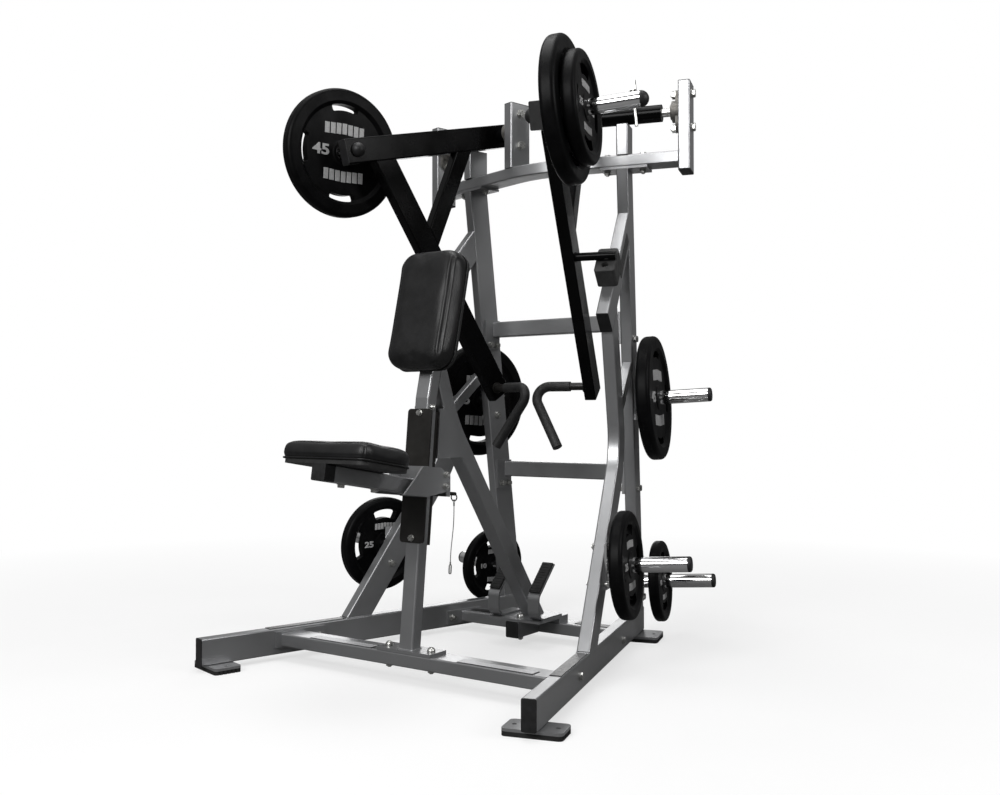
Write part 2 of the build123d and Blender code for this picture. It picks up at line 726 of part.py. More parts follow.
def lock_pin():
    """Flat-sided lug with a pin, clamped on the front of the hub."""
    spot = along((50.5, 1119.5, 1860), (-0.105, 0, 0.9945), (1, 0, 0))
    pin = rod(spot, 6, 0, 130)
    lug = spot * block((-12, 12), (-11, 11), (130, 168))
    return pin + lug


# ---- seat carriage ----
SIDE_PLATE = [(292, 670), (382, 663), (431, 635), (431, 587), (318, 575), (200, 588), (254, 633)]
ROLLER_R = 10.0
ROLLERS = [(545.6, -POST_D - 31.5), (509.0, -POST_D - 31.5)]
FRONT_PLATE_N = (GUARD_T + 0.6, GUARD_T + 8.6)
HOUSING_N = (-POST_D - 67.0, -POST_D - 45.0)
PLUNGER_R = 6.0
PLUNGER_END = -208.0


def seat_carriage():
    """Two side plates, a front plate, a latch block and two rollers on bolts."""
    plates = [prism(SIDE_PLATE, x) for x in ((-58, -CARRIAGE_X), (CARRIAGE_X, 58))]
    bolts = []
    for u, n in ROLLERS:
        sleeve = post_rod(u, n, ROLLER_R, (-CARRIAGE_X + 0.4, CARRIAGE_X - 0.4))
        sleeve -= post_rod(u, n, 5.3, (-60, 60))
        spot = POST * Pos(58, u, n) * Rot(0, 90, 0)
        bolts += [sleeve, bolt(spot, 116, 10)]
        plates = [plate - post_rod(u, n, 5.3, (-70, 70)) for plate in plates]
    front = on_post((-CARRIAGE_X, CARRIAGE_X), (470, 566), FRONT_PLATE_N)
    latch = on_post((-CARRIAGE_X, CARRIAGE_X), (476, 498), HOUSING_N)
    latch -= rod(plunger_place(), PLUNGER_R + RUNNING, -200, 200)
    return plates + [front, latch] + bolts


def plunger_place():
    """On the post's front face, with Z pointing straight back through the post."""
    return POST * Pos(0, PLUNGER_U, 0) * Rot(180, 0, 0)


SEAT_TUBE_W = 52.0
SEAT_TUBE_D = 49.0
SEAT_TUBE_START = 42.5    # behind the seat's front edge
SEAT_BOOT = 42.0          # length of the rubber boot in front of the tube
SEAT_NUTS_Y = (100.0, 245.0)


def seat_nut(y):
    """Nut and washer under the seat tube, on a screw that holds the board down."""
    washer = Pos(0, 0, -1.2) * Cylinder(13, 2.4)
    nut = Pos(0, 0, -2.4) * extrude(RegularPolygon(10.5, 6), amount=-8)
    return SEAT * Pos(0, y, -SEAT_TUBE_D) * (washer + nut)


def seat_tube():
    start = Plane.XZ.offset(-SEAT_TUBE_START) * Pos(0, -SEAT_TUBE_D / 2)
    tube = extrude(start * section(SEAT_TUBE_W, SEAT_TUBE_D), amount=-500)
    plane = POST * Pos(0, 0, FRONT_PLATE_N[1])
    return cut_beyond(SEAT * tube, plane.position, tuple(-v for v in POST_OUT))


def seat_tube_cap():
    spot = SEAT * Pos(0, SEAT_TUBE_START, -SEAT_TUBE_D / 2) * Rot(90, 0, 0)
    return end_cap(spot, SEAT_TUBE_W, SEAT_TUBE_D, lid=SEAT_BOOT)


SEAT_L = 262.0
SEAT_W = 336.0
SEAT_CORNER = (32.0, 100.0)   # outline corners at the front and at the back
SEAT_BOARD_T = 12.0
SEAT_CUSHION_T = 56.0


def seat_outline(inset):
    """Rounded outline, with larger corners at the back."""
    half = SEAT_W / 2 - inset
    face = make_face(Polyline((-half, inset), (half, inset), (half, SEAT_L - inset),
                              (-half, SEAT_L - inset), close=True))
    front = [corner for corner in face.vertices() if corner.Y < SEAT_L / 2]
    face = fillet(front, SEAT_CORNER[0] - inset / 2)
    back = [corner for corner in face.vertices() if corner.Y > SEAT_L - inset - 1]
    return fillet(back, SEAT_CORNER[1] - inset)


def seat_board():
    return SEAT * extrude(seat_outline(8), amount=SEAT_BOARD_T)


def seat_cushion():
    cushion = extrude(seat_outline(0), amount=SEAT_CUSHION_T)
    cushion = fillet(cushion.faces().sort_by(Axis.Z)[-1].edges(), 16)
    return SEAT * Pos(0, 0, SEAT_BOARD_T) * cushion


def latch_plunger():
    """Plunger, drawn pulled just clear of the notches; a ring hangs in its far end."""
    place = plunger_place()
    bar = rod(place, PLUNGER_R, POST_D + 21, -PLUNGER_END)
    knob = rod(place, 10, 132, 146)
    bar = bar + knob - place * Pos(0, 0, -PLUNGER_END - 6) * Rot(0, 90, 0) * Cylinder(2.6, 40)
    eye = place * Pos(0, 0, -PLUNGER_END - 6)
    centre = eye.position
    ring = Plane(origin=(0, centre.Y, centre.Z - 11.5), x_dir=(1, 0, 0), z_dir=(0, 1, 0)).location * Torus(11.5, 2)
    return [bar, ring]


# ---- lanyard ----
def ring_bottom():
    """Lowest inside point of the plunger's ring."""
    eye = (plunger_place() * Pos(0, 0, -PLUNGER_END - 6)).position
    return Vector(0, eye.Y, eye.Z - 23.0)


LANYARD_R = 1.5
LANYARD_ROUTE = [(0, 0), (0, -30), (-3.0, -68), (-10.0, -108), (-17.5, -148), (-19.5, -182)]


def lanyard_points():
    """Steps back and down from the upper fitting's lower end."""
    top = ring_bottom() + Vector(0, 0, -17.0)
    return [Vector(0, top.Y + dy, top.Z + dz) for dy, dz in LANYARD_ROUTE]


def cord_radii(points):
    """Largest arc at each corner: 0.45 of the shorter run over the tangent of half the turn."""
    radii = []
    for before, here, after in zip(points, points[1:], points[2:]):
        turn = (here - before).get_angle(after - here)
        shorter = min((here - before).length, (after - here).length)
        radii.append(0.45 * shorter / tan(radians(turn / 2)))
    return radii


def lanyard_cable():
    points = lanyard_points()
    radii = cord_radii(points)
    line = FilletPolyline(*points, radius=radii)
    cable = swept(line, Circle(LANYARD_R))
    print("lanyard radii", [round(r) for r in radii], "length", round(line.length, 1))
    print("lanyard volume over section times length", cable.volume / (3.14159265 * LANYARD_R ** 2 * line.length))
    return cable


def lanyard_fittings():
    """Eye with a crimp above the cable; a crimp and a snap hook below it."""
    low = ring_bottom()
    eye = Plane(origin=(0, low.Y, low.Z - 1.1), x_dir=(0, 1, 0), z_dir=(1, 0, 0)).location * Torus(4.6, 1.2)
    crimp = Pos(0, low.Y, low.Z - 11.4) * Cylinder(2.6, 11.2)
    points = lanyard_points()
    end = points[-1]
    direction = (end - points[-2]).normalized()
    spot = Plane(origin=end, x_dir=(1, 0, 0), z_dir=direction).location
    lower_crimp = rod(spot, 2.6, 0, 9)
    loop = SlotCenterToCenter(20, 13) - SlotCenterToCenter(20, 8)
    hook = spot * Pos(0, 0, 24) * Rot(0, 90, 0) * extrude(loop, amount=1.8, both=True)
    return [eye + crimp, lower_crimp + hook]


# ---- assembly ----
def build_side_frames():
    save_pair("base_rail", cut_holes(rail(), RAIL_BOLTS, FLANGE_GRIP))
    body = upright()
    for y, z, _, _ in STORAGE[::2]:
        body = cut_holes(body, horn_bolts(y, z), TUBE_W + 8)
    body = cut_holes(body, CROSSBAR_BOLTS + LOWER_BAR_BOLTS, FLANGE_GRIP)
    save_pair("rear_upright", body)
    save_pair("front_leg", cut_holes(front_leg(), horn_bolts(*STORAGE[1][:2]), TUBE_W + 8))
    save_pair("stop_arm", stop_arm())
    save("side_struts", *both(side_strut()))
    save("foot_plates", *[piece for plate in foot_plates() for piece in both(plate)])
    save("foot_pads", *[piece for pad in foot_pads() for piece in both(pad)])


def cut_holes(shape, spots, grip, size=12.0):
    """Clearance holes for a row of bolts."""
    for spot in spots:
        shape -= hole(spot, grip, size)
    return shape


def build_top():
    beam = top_beam()
    for spot in BEAM_BOLTS:
        cutter = hole(spot, BEAM_GRIP)
        beam = beam - right(cutter) - left(cutter)
    save("top_beam", beam)
    save("beam_flange_plates", *both(cut_holes(flange_plate(), BEAM_BOLTS, BEAM_GRIP)))
    outer = cut_holes(outer_post(), OUTER_BEARING_BOLTS, BEARING_GRIP, 16)
    inner = cut_holes(inner_post(), INNER_BEARING_BOLTS, BEARING_GRIP, 16)
    save("pivot_posts", *both(outer), *both(inner), *both(stub_post()))
    save("flange_bearings", *both(bearing(199, -1)), *both(bearing(-218, 1)))


def build_cross_members():
    front = cross_tube(*FRONT_BEAM)
    for spot in BASE_BOLTS:
        front -= hole(spot, BASE_GRIP)
    front_flange = cut_holes(end_flange((262, 452), (45, 98)), RAIL_BOLTS[:1], FLANGE_GRIP)
    save("front_cross_beam", front, *both(front_flange))
    rear = cross_tube(*REAR_BEAM)
    rear_flange = cut_holes(end_flange((988, 1150), (31, 81)), RAIL_BOLTS[1:], FLANGE_GRIP)
    save("rear_cross_beam", rear, *both(rear_flange))
    stub = extrude(Plane.XZ.offset(-872) * Pos(0, 64) * section(52, 58), amount=-(REAR_BEAM[0][0] - 872))
    save("rear_centre_stub", cut_holes(stub, PLATFORM_BOLTS, PLATFORM_GRIP))
    upper_flange = end_flange((upright_y(1150) - 36, upright_y(1150) + 36), (1090, 1205))
    upper_flange = cut_holes(upper_flange, CROSSBAR_BOLTS, FLANGE_GRIP)
    save("upper_crossbar", cross_tube(*UPPER_BAR), *both(upper_flange))
    lower_flange = end_flange((upright_y(600) - 36, upright_y(600) + 36), (540, 652))
    lower_flange = cut_holes(lower_flange, LOWER_BAR_BOLTS, FLANGE_GRIP)
    save("lower_crossbar", cross_tube(*LOWER_BAR), *both(lower_flange))


def build_end_caps(caps):
    caps += both(end_cap(along((0, CAP, RAIL_MID_Z), (0, -1, 0), (1, 0, 0))))
    caps += both(end_cap(along((0, RAIL_L - CAP, RAIL_MID_Z), (0, 1, 0), (1, 0, 0))))
    down = (0, -STOP_ARM_DIR[0], -STOP_ARM_DIR[1])
    caps += both(end_cap(along((0, *stop_arm_point(CAP)), down, (1, 0, 0))))
    caps += both(end_cap(along((220, 1156, 1695), (0, 0, -1), (1, 0, 0)), 42, 94, lid=5))
    for x in (220, -239):
        caps += both(end_cap(along((x, 1156, POST_TOP_Z), (0, 0, 1), (1, 0, 0)), 42, 94))
    caps += both(end_cap(along((0, 1147, BEAM_Z + BEAM_H + STUB_H), (0, 0, 1), (1, 0, 0))))
    caps.append(end_cap(along((0, 872, 64), (0, -1, 0), (1, 0, 0)), 52, 58))
    top = PAD * Pos(0, 425, -POST_D / 2) * Rot(-90, 0, 0)
    caps.append(end_cap(top, POST_W, POST_D))
    save("tube_end_caps", *caps)


def bumper():
    """Rubber block on the stop arm's front face with two counterbored screw holes."""
    spot = along((0, *stop_arm_point(185, TUBE_D / 2)), (0, -STOP_ARM_DIR[1], STOP_ARM_DIR[0]), (1, 0, 0))
    body = extrude(RectangleRounded(70, 112, 10), amount=BUMPER_T)
    body = fillet(body.faces().sort_by(Axis.Z)[-1].edges(), 3)
    screws = []
    for side in (-1, 1):
        body -= Pos(0, side * 26, BUMPER_T) * Cylinder(12, 40)
        body -= Pos(0, side * 26, 0) * Cylinder(5.3, 200)
        screws.append(Pos(0, side * 26, 0) * Cylinder(5, 2 * (BUMPER_T - 22)) & Pos(0, 0, 50) * Box(200, 200, 100))
        screws[-1] += Pos(0, side * 26, BUMPER_T - 20) * extrude(RegularPolygon(9, 6), amount=7)
    return spot * body, [spot * screw for screw in screws]


BUMPER_T = 71.5           # leaves a hair's gap to the stop tube


def build_bolts():
    bolts = []
    for spot in BEAM_BOLTS:
        bolts += both(bolt(spot, BEAM_GRIP))
    for spot in RAIL_BOLTS + CROSSBAR_BOLTS + LOWER_BAR_BOLTS:
        bolts += both(bolt(spot, FLANGE_GRIP))
    for y, z, _, _ in STORAGE:
        for spot in horn_bolts(y, z):
            bolts += both(bolt(spot, TUBE_W + 8))
    for spot in OUTER_BEARING_BOLTS + INNER_BEARING_BOLTS:
        bolts += both(bolt(spot, BEARING_GRIP, 16))
    for spot in BASE_BOLTS:
        bolts.append(bolt(spot, BASE_GRIP, domed=True))
    for spot in PLATFORM_BOLTS:
        bolts.append(bolt(spot, PLATFORM_GRIP, domed=True))
    bolts.append(bolt(POST_BOLT, POST_W, 10, domed=True))
    bolts += guard_bolts()
    _, screws = bumper()
    for screw in screws:
        bolts += both(screw)
    save("frame_bolts", *bolts)


def build_storage():
    horns = []
    caps = []
    for y, z, x, disc in STORAGE:
        horns += both(storage_horn(y, z))
        caps += both(horn_cap(horn_place(y, z, 0) * Pos(0, 0, STORAGE_END), 12, HORN_R))
        plate = horn_place(y, z, x) * weight_plate(disc)
        save(f"stored_plates_{disc.mark}", *both(plate))
    save("storage_horns", *horns)
    return caps


def build_centre():
    lower, upper = post_with_holes()
    base = block((-107, 107), (264, 345), (91, BASE_TOP))
    for spot in BASE_BOLTS:
        base -= hole(spot, BASE_GRIP)
    save("seat_post", lower, upper, base)
    save("post_guard", post_guard())
    save("adjustment_rack", adjustment_rack())
    save("main_brace", main_brace(), *gussets())
    plate, spacer = platform()
    for spot in PLATFORM_BOLTS:
        plate -= hole(spot, PLATFORM_GRIP)
    rest = foot_rest()
    save("foot_rests", plate, spacer, rest, mirror(rest, about=Plane.YZ))
    tread = foot_rest_grip()
    save("foot_rest_grips", tread, mirror(tread, about=Plane.YZ))
    save("chest_pad", chest_pad())
    save("chest_pad_board", chest_board())
    labels = [block((-403, -133), (269, 309), (91, 92.4)), block((204, 474), (269, 309), (91, 92.4))]
    side_label = along((TUBE_W / 2, *stop_arm_point(330, 0)), (1, 0, 0), (0, *STOP_ARM_DIR))
    labels += both(side_label * Pos(0, 0, 0.7) * Box(190, 40, 1.4))
    strip = block((-17, 17), (246, 538), (RAIL_TOP_Z, RAIL_TOP_Z + 2))
    rear_strips = [block(x, (1034, 1074), (REAR_BEAM[1][1], REAR_BEAM[1][1] + 2)) for x in ((163, 302), (-302, -163))]
    save("label_plates", *labels, *rear_strips, *both(strip))
    block_body, _ = bumper()
    save("stop_bumpers", *both(block_body))


def build_arms():
    frame = arm_frame()
    for side, name in ((left, "left"), (right, "right")):
        save(f"arm_frame_{name}", *[side(piece) for piece in frame])
        save(f"arm_end_caps_{name}", *[side(piece) for piece in arm_end_caps()])
    save_pair("pivot_shaft", pivot_shaft())
    save_pair("weight_horn", weight_horn())
    save_pair("handle", handle())
    save_pair("grip", grip())
    loaded = arm_horn_place(-38) * weight_plate(DISC_45)
    save_pair("loaded_plate_45", loaded)
    save("loaded_plate_25_right", right(arm_horn_place(10.5) * weight_plate(DISC_25)))
    save("lock_pin_right", right(lock_pin()))


def build_seat():
    save("seat_carriage", *seat_carriage(), *[seat_nut(y) for y in SEAT_NUTS_Y])
    save("seat_tube", seat_tube())
    save("seat_tube_cap", seat_tube_cap())
    save("seat_board", seat_board())
    save("seat_cushion", seat_cushion())
    save("latch_plunger", *latch_plunger())
    save("lanyard_cable", lanyard_cable())
    save("lanyard_fittings", *lanyard_fittings())


build_side_frames()
build_top()
build_cross_members()
build_bolts()
build_end_caps(build_storage())
build_centre()
build_arms()
build_seat()
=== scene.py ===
"""Looks for the plate-loaded low row machine: materials, cushions, marks, welds, lanyard, light, camera.

Metres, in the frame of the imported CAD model: +Z up, the user faces +Y, the floor is Z = 0.
"""

import json
import math

import bmesh
import bpy
from mathutils import Matrix, Vector
from mathutils.bvhtree import BVHTree


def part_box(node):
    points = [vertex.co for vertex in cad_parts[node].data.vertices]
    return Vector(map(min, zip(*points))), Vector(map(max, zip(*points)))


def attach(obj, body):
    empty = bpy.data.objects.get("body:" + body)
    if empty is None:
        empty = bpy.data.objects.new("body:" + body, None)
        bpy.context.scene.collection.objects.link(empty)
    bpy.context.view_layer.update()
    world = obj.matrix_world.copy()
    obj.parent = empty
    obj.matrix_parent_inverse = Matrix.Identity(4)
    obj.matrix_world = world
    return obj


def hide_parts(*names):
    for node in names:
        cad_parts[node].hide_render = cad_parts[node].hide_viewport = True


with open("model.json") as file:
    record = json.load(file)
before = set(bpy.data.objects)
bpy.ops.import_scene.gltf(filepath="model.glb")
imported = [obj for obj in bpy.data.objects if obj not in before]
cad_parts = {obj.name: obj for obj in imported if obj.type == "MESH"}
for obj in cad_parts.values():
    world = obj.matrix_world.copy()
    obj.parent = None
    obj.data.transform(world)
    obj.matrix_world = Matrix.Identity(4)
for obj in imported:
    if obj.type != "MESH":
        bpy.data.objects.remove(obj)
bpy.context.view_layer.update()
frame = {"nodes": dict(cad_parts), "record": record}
MM = 0.001

# ---- the side frames' own frame: X outward, Y back along the rail, Z up ----
FRONT_X = 634.6 * MM
FRONT_Y = -662.85 * MM
SPLAY = math.radians(15.37)
HORN_TILT = math.radians(3.3)
UPRIGHT_LEAN = math.radians(6.35)
SIDES = {"right": 1, "left": -1}
UP = Vector((0, 0, 1))


def side_point(side, out, along, up):
    """Place in the model's frame of a point of a side frame, in millimetres."""
    x = FRONT_X + (out * math.cos(SPLAY) - along * math.sin(SPLAY)) * MM
    y = FRONT_Y + (out * math.sin(SPLAY) + along * math.cos(SPLAY)) * MM
    return Vector((SIDES[side] * x, y, up * MM))


def side_direction(side, out, along, up):
    """Direction in the model's frame of a direction of a side frame."""
    x = out * math.cos(SPLAY) - along * math.sin(SPLAY)
    y = out * math.sin(SPLAY) + along * math.cos(SPLAY)
    return Vector((SIDES[side] * x, y, up)).normalized()


def facing(origin, normal, up):
    """Matrix at origin whose Z is the normal and whose Y points up."""
    across = up.cross(normal).normalized()
    true_up = normal.cross(across).normalized()
    turn = Matrix((across, true_up, normal)).transposed().to_4x4()
    return Matrix.Translation(origin) @ turn


# ---- materials ----
class Look:
    """A procedural material with short ways to add variation to it."""

    def __init__(self, name, colour, metallic=0.0, roughness=0.5, specular=0.5):
        self.material = bpy.data.materials.new(name)
        self.material.use_nodes = True
        self.nodes = self.material.node_tree.nodes
        self.links = self.material.node_tree.links
        self.shader = self.nodes["Principled BSDF"]
        self.colour = colour
        self.set("Base Color", (*colour, 1.0))
        self.set("Metallic", metallic)
        self.set("Roughness", roughness)
        self.set("Specular IOR Level", specular)
        self.place = self.nodes.new("ShaderNodeTexCoord").outputs["Object"]
        self.bumps = []

    def set(self, socket, value):
        self.shader.inputs[socket].default_value = value
        return self

    def noise(self, scale, detail=4.0, rough=0.6, stretch=None):
        node = self.nodes.new("ShaderNodeTexNoise")
        node.inputs["Scale"].default_value = scale
        node.inputs["Detail"].default_value = detail
        node.inputs["Roughness"].default_value = rough
        self.links.new(self.stretched(stretch), node.inputs["Vector"])
        return node.outputs["Fac"]

    def cells(self, scale, feature="F1"):
        node = self.nodes.new("ShaderNodeTexVoronoi")
        node.feature = feature
        node.inputs["Scale"].default_value = scale
        self.links.new(self.place, node.inputs["Vector"])
        return node.outputs["Distance"]

    def waves(self, scale, direction, distortion=0.0):
        node = self.nodes.new("ShaderNodeTexWave")
        node.bands_direction = direction
        node.inputs["Scale"].default_value = scale
        node.inputs["Distortion"].default_value = distortion
        self.links.new(self.place, node.inputs["Vector"])
        return node.outputs["Fac"]

    def stretched(self, scale):
        if scale is None:
            return self.place
        node = self.nodes.new("ShaderNodeMapping")
        node.inputs["Scale"].default_value = scale
        self.links.new(self.place, node.inputs["Vector"])
        return node.outputs["Vector"]

    def between(self, factor, low, high, start=0.3, end=0.7):
        """Factor from start to end becomes a number from low to high."""
        node = self.nodes.new("ShaderNodeMapRange")
        for name, value in (("From Min", start), ("From Max", end), ("To Min", low), ("To Max", high)):
            node.inputs[name].default_value = value
        self.links.new(factor, node.inputs["Value"])
        return node.outputs["Result"]

    def tint(self, factor, first, second, start=0.35, end=0.65):
        """Base colour that goes from first to second with the factor."""
        ramp = self.nodes.new("ShaderNodeValToRGB")
        ramp.color_ramp.elements[0].position = start
        ramp.color_ramp.elements[1].position = end
        ramp.color_ramp.elements[0].color = (*first, 1.0)
        ramp.color_ramp.elements[1].color = (*second, 1.0)
        self.links.new(factor, ramp.inputs["Fac"])
        self.links.new(ramp.outputs["Color"], self.shader.inputs["Base Color"])
        return self

    def rough(self, factor, low, high, start=0.3, end=0.7):
        self.links.new(self.between(factor, low, high, start, end), self.shader.inputs["Roughness"])
        return self

    def bump(self, factor, depth, strength=1.0):
        node = self.nodes.new("ShaderNodeBump")
        node.inputs["Distance"].default_value = depth
        node.inputs["Strength"].default_value = strength
        self.links.new(factor, node.inputs["Height"])
        if self.bumps:
            self.links.new(self.bumps[-1], node.inputs["Normal"])
        self.bumps.append(node.outputs["Normal"])
        self.links.new(node.outputs["Normal"], self.shader.inputs["Normal"])
        return self


def times(colour, factor):
    return tuple(channel * factor for channel in colour)


def coated(look, weight, roughness):
    look.set("Coat Weight", weight)
    look.set("Coat Roughness", roughness)
    return look


SILVER = (0.35, 0.353, 0.36)
BLACK = (0.004, 0.004, 0.0045)


def silver_paint():
    """Metallic paint: fine flake, a slight orange peel and a clear coat."""
    look = Look("silver paint", SILVER, metallic=0.8, roughness=0.34)
    look.tint(look.noise(2600, 2), times(SILVER, 0.78), times(SILVER, 1.2))
    look.rough(look.noise(9, 5), 0.29, 0.40)
    look.bump(look.noise(420, 2), 0.00006, 0.5)
    return coated(look, 0.35, 0.12).material


def gloss_black():
    look = Look("gloss black paint", BLACK, roughness=0.2, specular=0.08)
    look.tint(look.noise(5, 5), (0.0015, 0.0015, 0.0015), (0.0035, 0.0035, 0.0038))
    look.rough(look.noise(14, 6), 0.16, 0.27)
    look.bump(look.noise(300, 2), 0.00005, 0.4)
    return look.material


def satin_black():
    look = Look("satin black powder coat", (0.010, 0.0095, 0.008), roughness=0.42, specular=0.35)
    look.tint(look.noise(12, 6), (0.008, 0.0075, 0.0065), (0.015, 0.014, 0.0125))
    look.rough(look.noise(25, 4), 0.34, 0.5)
    look.bump(look.noise(900, 3), 0.00012, 0.5)
    return look.material


def moulded_black():
    look = Look("moulded black plastic", (0.012, 0.012, 0.012), roughness=0.45, specular=0.35)
    look.tint(look.noise(30, 4), (0.009, 0.009, 0.009), (0.016, 0.016, 0.017))
    look.rough(look.noise(60, 4), 0.38, 0.55)
    look.bump(look.cells(1400), 0.00012, 0.4)
    return look.material


def rubber(name, colour, grain=800.0):
    look = Look(name, colour, roughness=0.62, specular=0.35)
    look.tint(look.noise(40, 6), times(colour, 0.75), times(colour, 1.3))
    look.rough(look.noise(35, 5), 0.5, 0.72)
    look.bump(look.cells(grain), 0.0002, 0.5)
    return look.material


def grip_rubber():
    """Grip rubber with fine rings across the hand."""
    look = Look("grip rubber", (0.028, 0.028, 0.028), roughness=0.45, specular=0.4)
    look.tint(look.noise(60, 5), (0.020, 0.020, 0.020), (0.038, 0.038, 0.038))
    look.rough(look.noise(50, 5), 0.42, 0.6)
    look.bump(look.waves(110, "DIAGONAL"), 0.0004, 0.5)
    look.bump(look.cells(900), 0.0002, 0.4)
    return look.material


def plate_coating():
    look = Look("plate coating", (0.0035, 0.0035, 0.004), roughness=0.42, specular=0.07)
    look.tint(look.noise(24, 7), (0.0016, 0.0016, 0.0018), (0.0042, 0.0042, 0.0045))
    look.rough(look.noise(11, 6), 0.34, 0.5)
    look.bump(look.noise(600, 4), 0.00025, 0.6)
    return look.material


def chrome():
    look = Look("chrome", (0.86, 0.86, 0.87), metallic=1.0, roughness=0.06)
    look.rough(look.noise(160, 5, stretch=(1, 14, 14)), 0.03, 0.12)
    look.tint(look.noise(6, 4), (0.80, 0.80, 0.81), (0.90, 0.90, 0.90))
    look.bump(look.noise(700, 3), 0.00003, 0.3)
    return look.material


def zinc():
    look = Look("zinc plating", (0.6, 0.6, 0.58), metallic=1.0, roughness=0.3)
    look.tint(look.noise(220, 5), (0.44, 0.44, 0.42), (0.72, 0.72, 0.70))
    look.rough(look.noise(180, 5), 0.2, 0.42)
    look.bump(look.noise(1200, 3), 0.00008, 0.5)
    return look.material


def bearing_iron():
    look = Look("cast bearing", (0.15, 0.145, 0.135), metallic=0.55, roughness=0.5)
    look.tint(look.noise(70, 7), (0.10, 0.097, 0.09), (0.20, 0.19, 0.175))
    look.rough(look.noise(90, 5), 0.4, 0.62)
    look.bump(look.noise(500, 6), 0.0004, 0.6)
    return look.material


def vinyl():
    """Black upholstery vinyl: pebbled grain, soft sheen, and a cloudy lighter mottle in the colour that is
    painted soft highlights with some wear.
    """
    look = Look("cushion vinyl", (0.007, 0.007, 0.0075), roughness=0.38, specular=0.3)
    # painted highlights: the lighter patches of this mottle stand in for soft sheen on the vinyl, and
    # partly for wear
    look.tint(look.noise(17, 7, 0.65), (0.004, 0.004, 0.0042), (0.011, 0.011, 0.0115), 0.3, 0.72)
    look.rough(look.noise(13, 6), 0.30, 0.47)
    look.bump(look.cells(520), 0.0004, 0.55)
    look.bump(look.noise(60, 5), 0.0009, 0.45)
    look.set("Sheen Weight", 0.04)
    look.set("Sheen Roughness", 0.4)
    return coated(look, 0.08, 0.25).material


def board():
    look = Look("backing board", (0.012, 0.012, 0.012), roughness=0.6)
    look.tint(look.noise(45, 6), (0.008, 0.008, 0.008), (0.018, 0.018, 0.018))
    look.bump(look.noise(350, 4, stretch=(1, 6, 6)), 0.0003, 0.5)
    return look.material


def wire():
    look = Look("wire cable", (0.42, 0.42, 0.43), metallic=1.0, roughness=0.34)
    look.tint(look.waves(900, "DIAGONAL"), (0.24, 0.24, 0.25), (0.6, 0.6, 0.6))
    look.bump(look.waves(900, "DIAGONAL"), 0.0002, 0.8)
    return look.material


def marking_paint():
    look = Look("marking paint", (0.42, 0.42, 0.42), roughness=0.55)
    look.tint(look.noise(260, 6), (0.33, 0.33, 0.33), (0.48, 0.48, 0.48))
    look.bump(look.noise(900, 3), 0.0001, 0.4)
    return look.material


def label_film():
    """Black wear strip: smooth, with a fine grain."""
    look = Look("wear strip", (0.006, 0.006, 0.006), roughness=0.3, specular=0.4)
    look.tint(look.noise(300, 5), (0.004, 0.004, 0.004), (0.010, 0.010, 0.010))
    look.rough(look.noise(90, 5), 0.24, 0.38)
    look.bump(look.cells(1600), 0.0001, 0.4)
    return look.material


def thread():
    look = Look("thread", (0.02, 0.02, 0.021), roughness=0.7)
    look.tint(look.noise(900, 3), (0.012, 0.012, 0.012), (0.035, 0.035, 0.036))
    look.bump(look.waves(2500, "DIAGONAL"), 0.0001, 0.6)
    return look.material


def light_plate():
    """Brushed plate of the blank name strips."""
    look = Look("brushed strip", (0.55, 0.55, 0.56), metallic=0.35, roughness=0.4)
    look.tint(look.noise(120, 4, stretch=(1, 30, 30)), (0.44, 0.44, 0.45), (0.62, 0.62, 0.63))
    look.bump(look.noise(500, 3, stretch=(1, 30, 30)), 0.00005, 0.4)
    return look.material


LOOKS = {
    "frame_paint": silver_paint(),
    "arm_paint": gloss_black(),
    "black_paint": satin_black(),
    "black_plastic": moulded_black(),
    "foot_rubber": rubber("foot rubber", (0.016, 0.016, 0.016)),
    "bumper_rubber": rubber("bumper rubber", (0.035, 0.035, 0.035), 500.0),
    "grip_rubber": grip_rubber(),
    "plate_urethane": plate_coating(),
    "horn_chrome": chrome(),
    "zinc": zinc(),
    "bearing_iron": bearing_iron(),
    "shaft_steel": zinc(),
    "cushion_vinyl": vinyl(),
    "board_black": board(),
    "label_film": label_film(),
    "cable_wire": wire(),
}
MARK = marking_paint()
THREAD = thread()
STRIP = light_plate()


def dress_cad():
    """Every CAD node gets the look of its material slot."""
    slots = {part["node"]: part["material_slot"] for part in frame["record"]["subparts"]}
    for name, node in frame["nodes"].items():
        look = LOOKS[slots[name]]
        for index in range(len(node.material_slots)):
            node.material_slots[index].material = look


# ---- meshes ----
def new_object(name, mesh, material):
    obj = bpy.data.objects.new(name.replace(" ", "_"), mesh)
    bpy.context.scene.collection.objects.link(obj)
    mesh.materials.clear()
    mesh.materials.append(material)
    return obj


def mesh_object(name, verts, faces, material, smooth=True):
    """Object from vertices and faces; its origin is the model's until it is placed."""
    mesh = bpy.data.meshes.new(name)
    mesh.from_pydata([tuple(v) for v in verts], [], faces)
    mesh.validate()
    for polygon in mesh.polygons:
        polygon.use_smooth = smooth
    return new_object(name, mesh, material)


def apply_modifiers(obj):
    """Make the object's mesh what its modifiers show, and remove them."""
    bpy.context.view_layer.update()
    graph = bpy.context.evaluated_depsgraph_get()
    mesh = bpy.data.meshes.new_from_object(obj.evaluated_get(graph))
    obj.modifiers.clear()
    obj.data = mesh
    return obj


def rounded_outline(width, low, high, front_radius, back_radius, steps=12):
    """Counter-clockwise loop of a rounded rectangle, with its own radius at the front and the back."""
    half = width / 2
    corners = [
        (half - front_radius, low + front_radius, front_radius, -90),
        (half - back_radius, high - back_radius, back_radius, 0),
        (back_radius - half, high - back_radius, back_radius, 90),
        (front_radius - half, low + front_radius, front_radius, 180),
    ]
    loop = []
    for x, y, radius, start in corners:
        for step in range(steps + 1):
            turn = math.radians(start + 90 * step / steps)
            loop.append(Vector((x + radius * math.cos(turn), y + radius * math.sin(turn), 0)))
    return loop


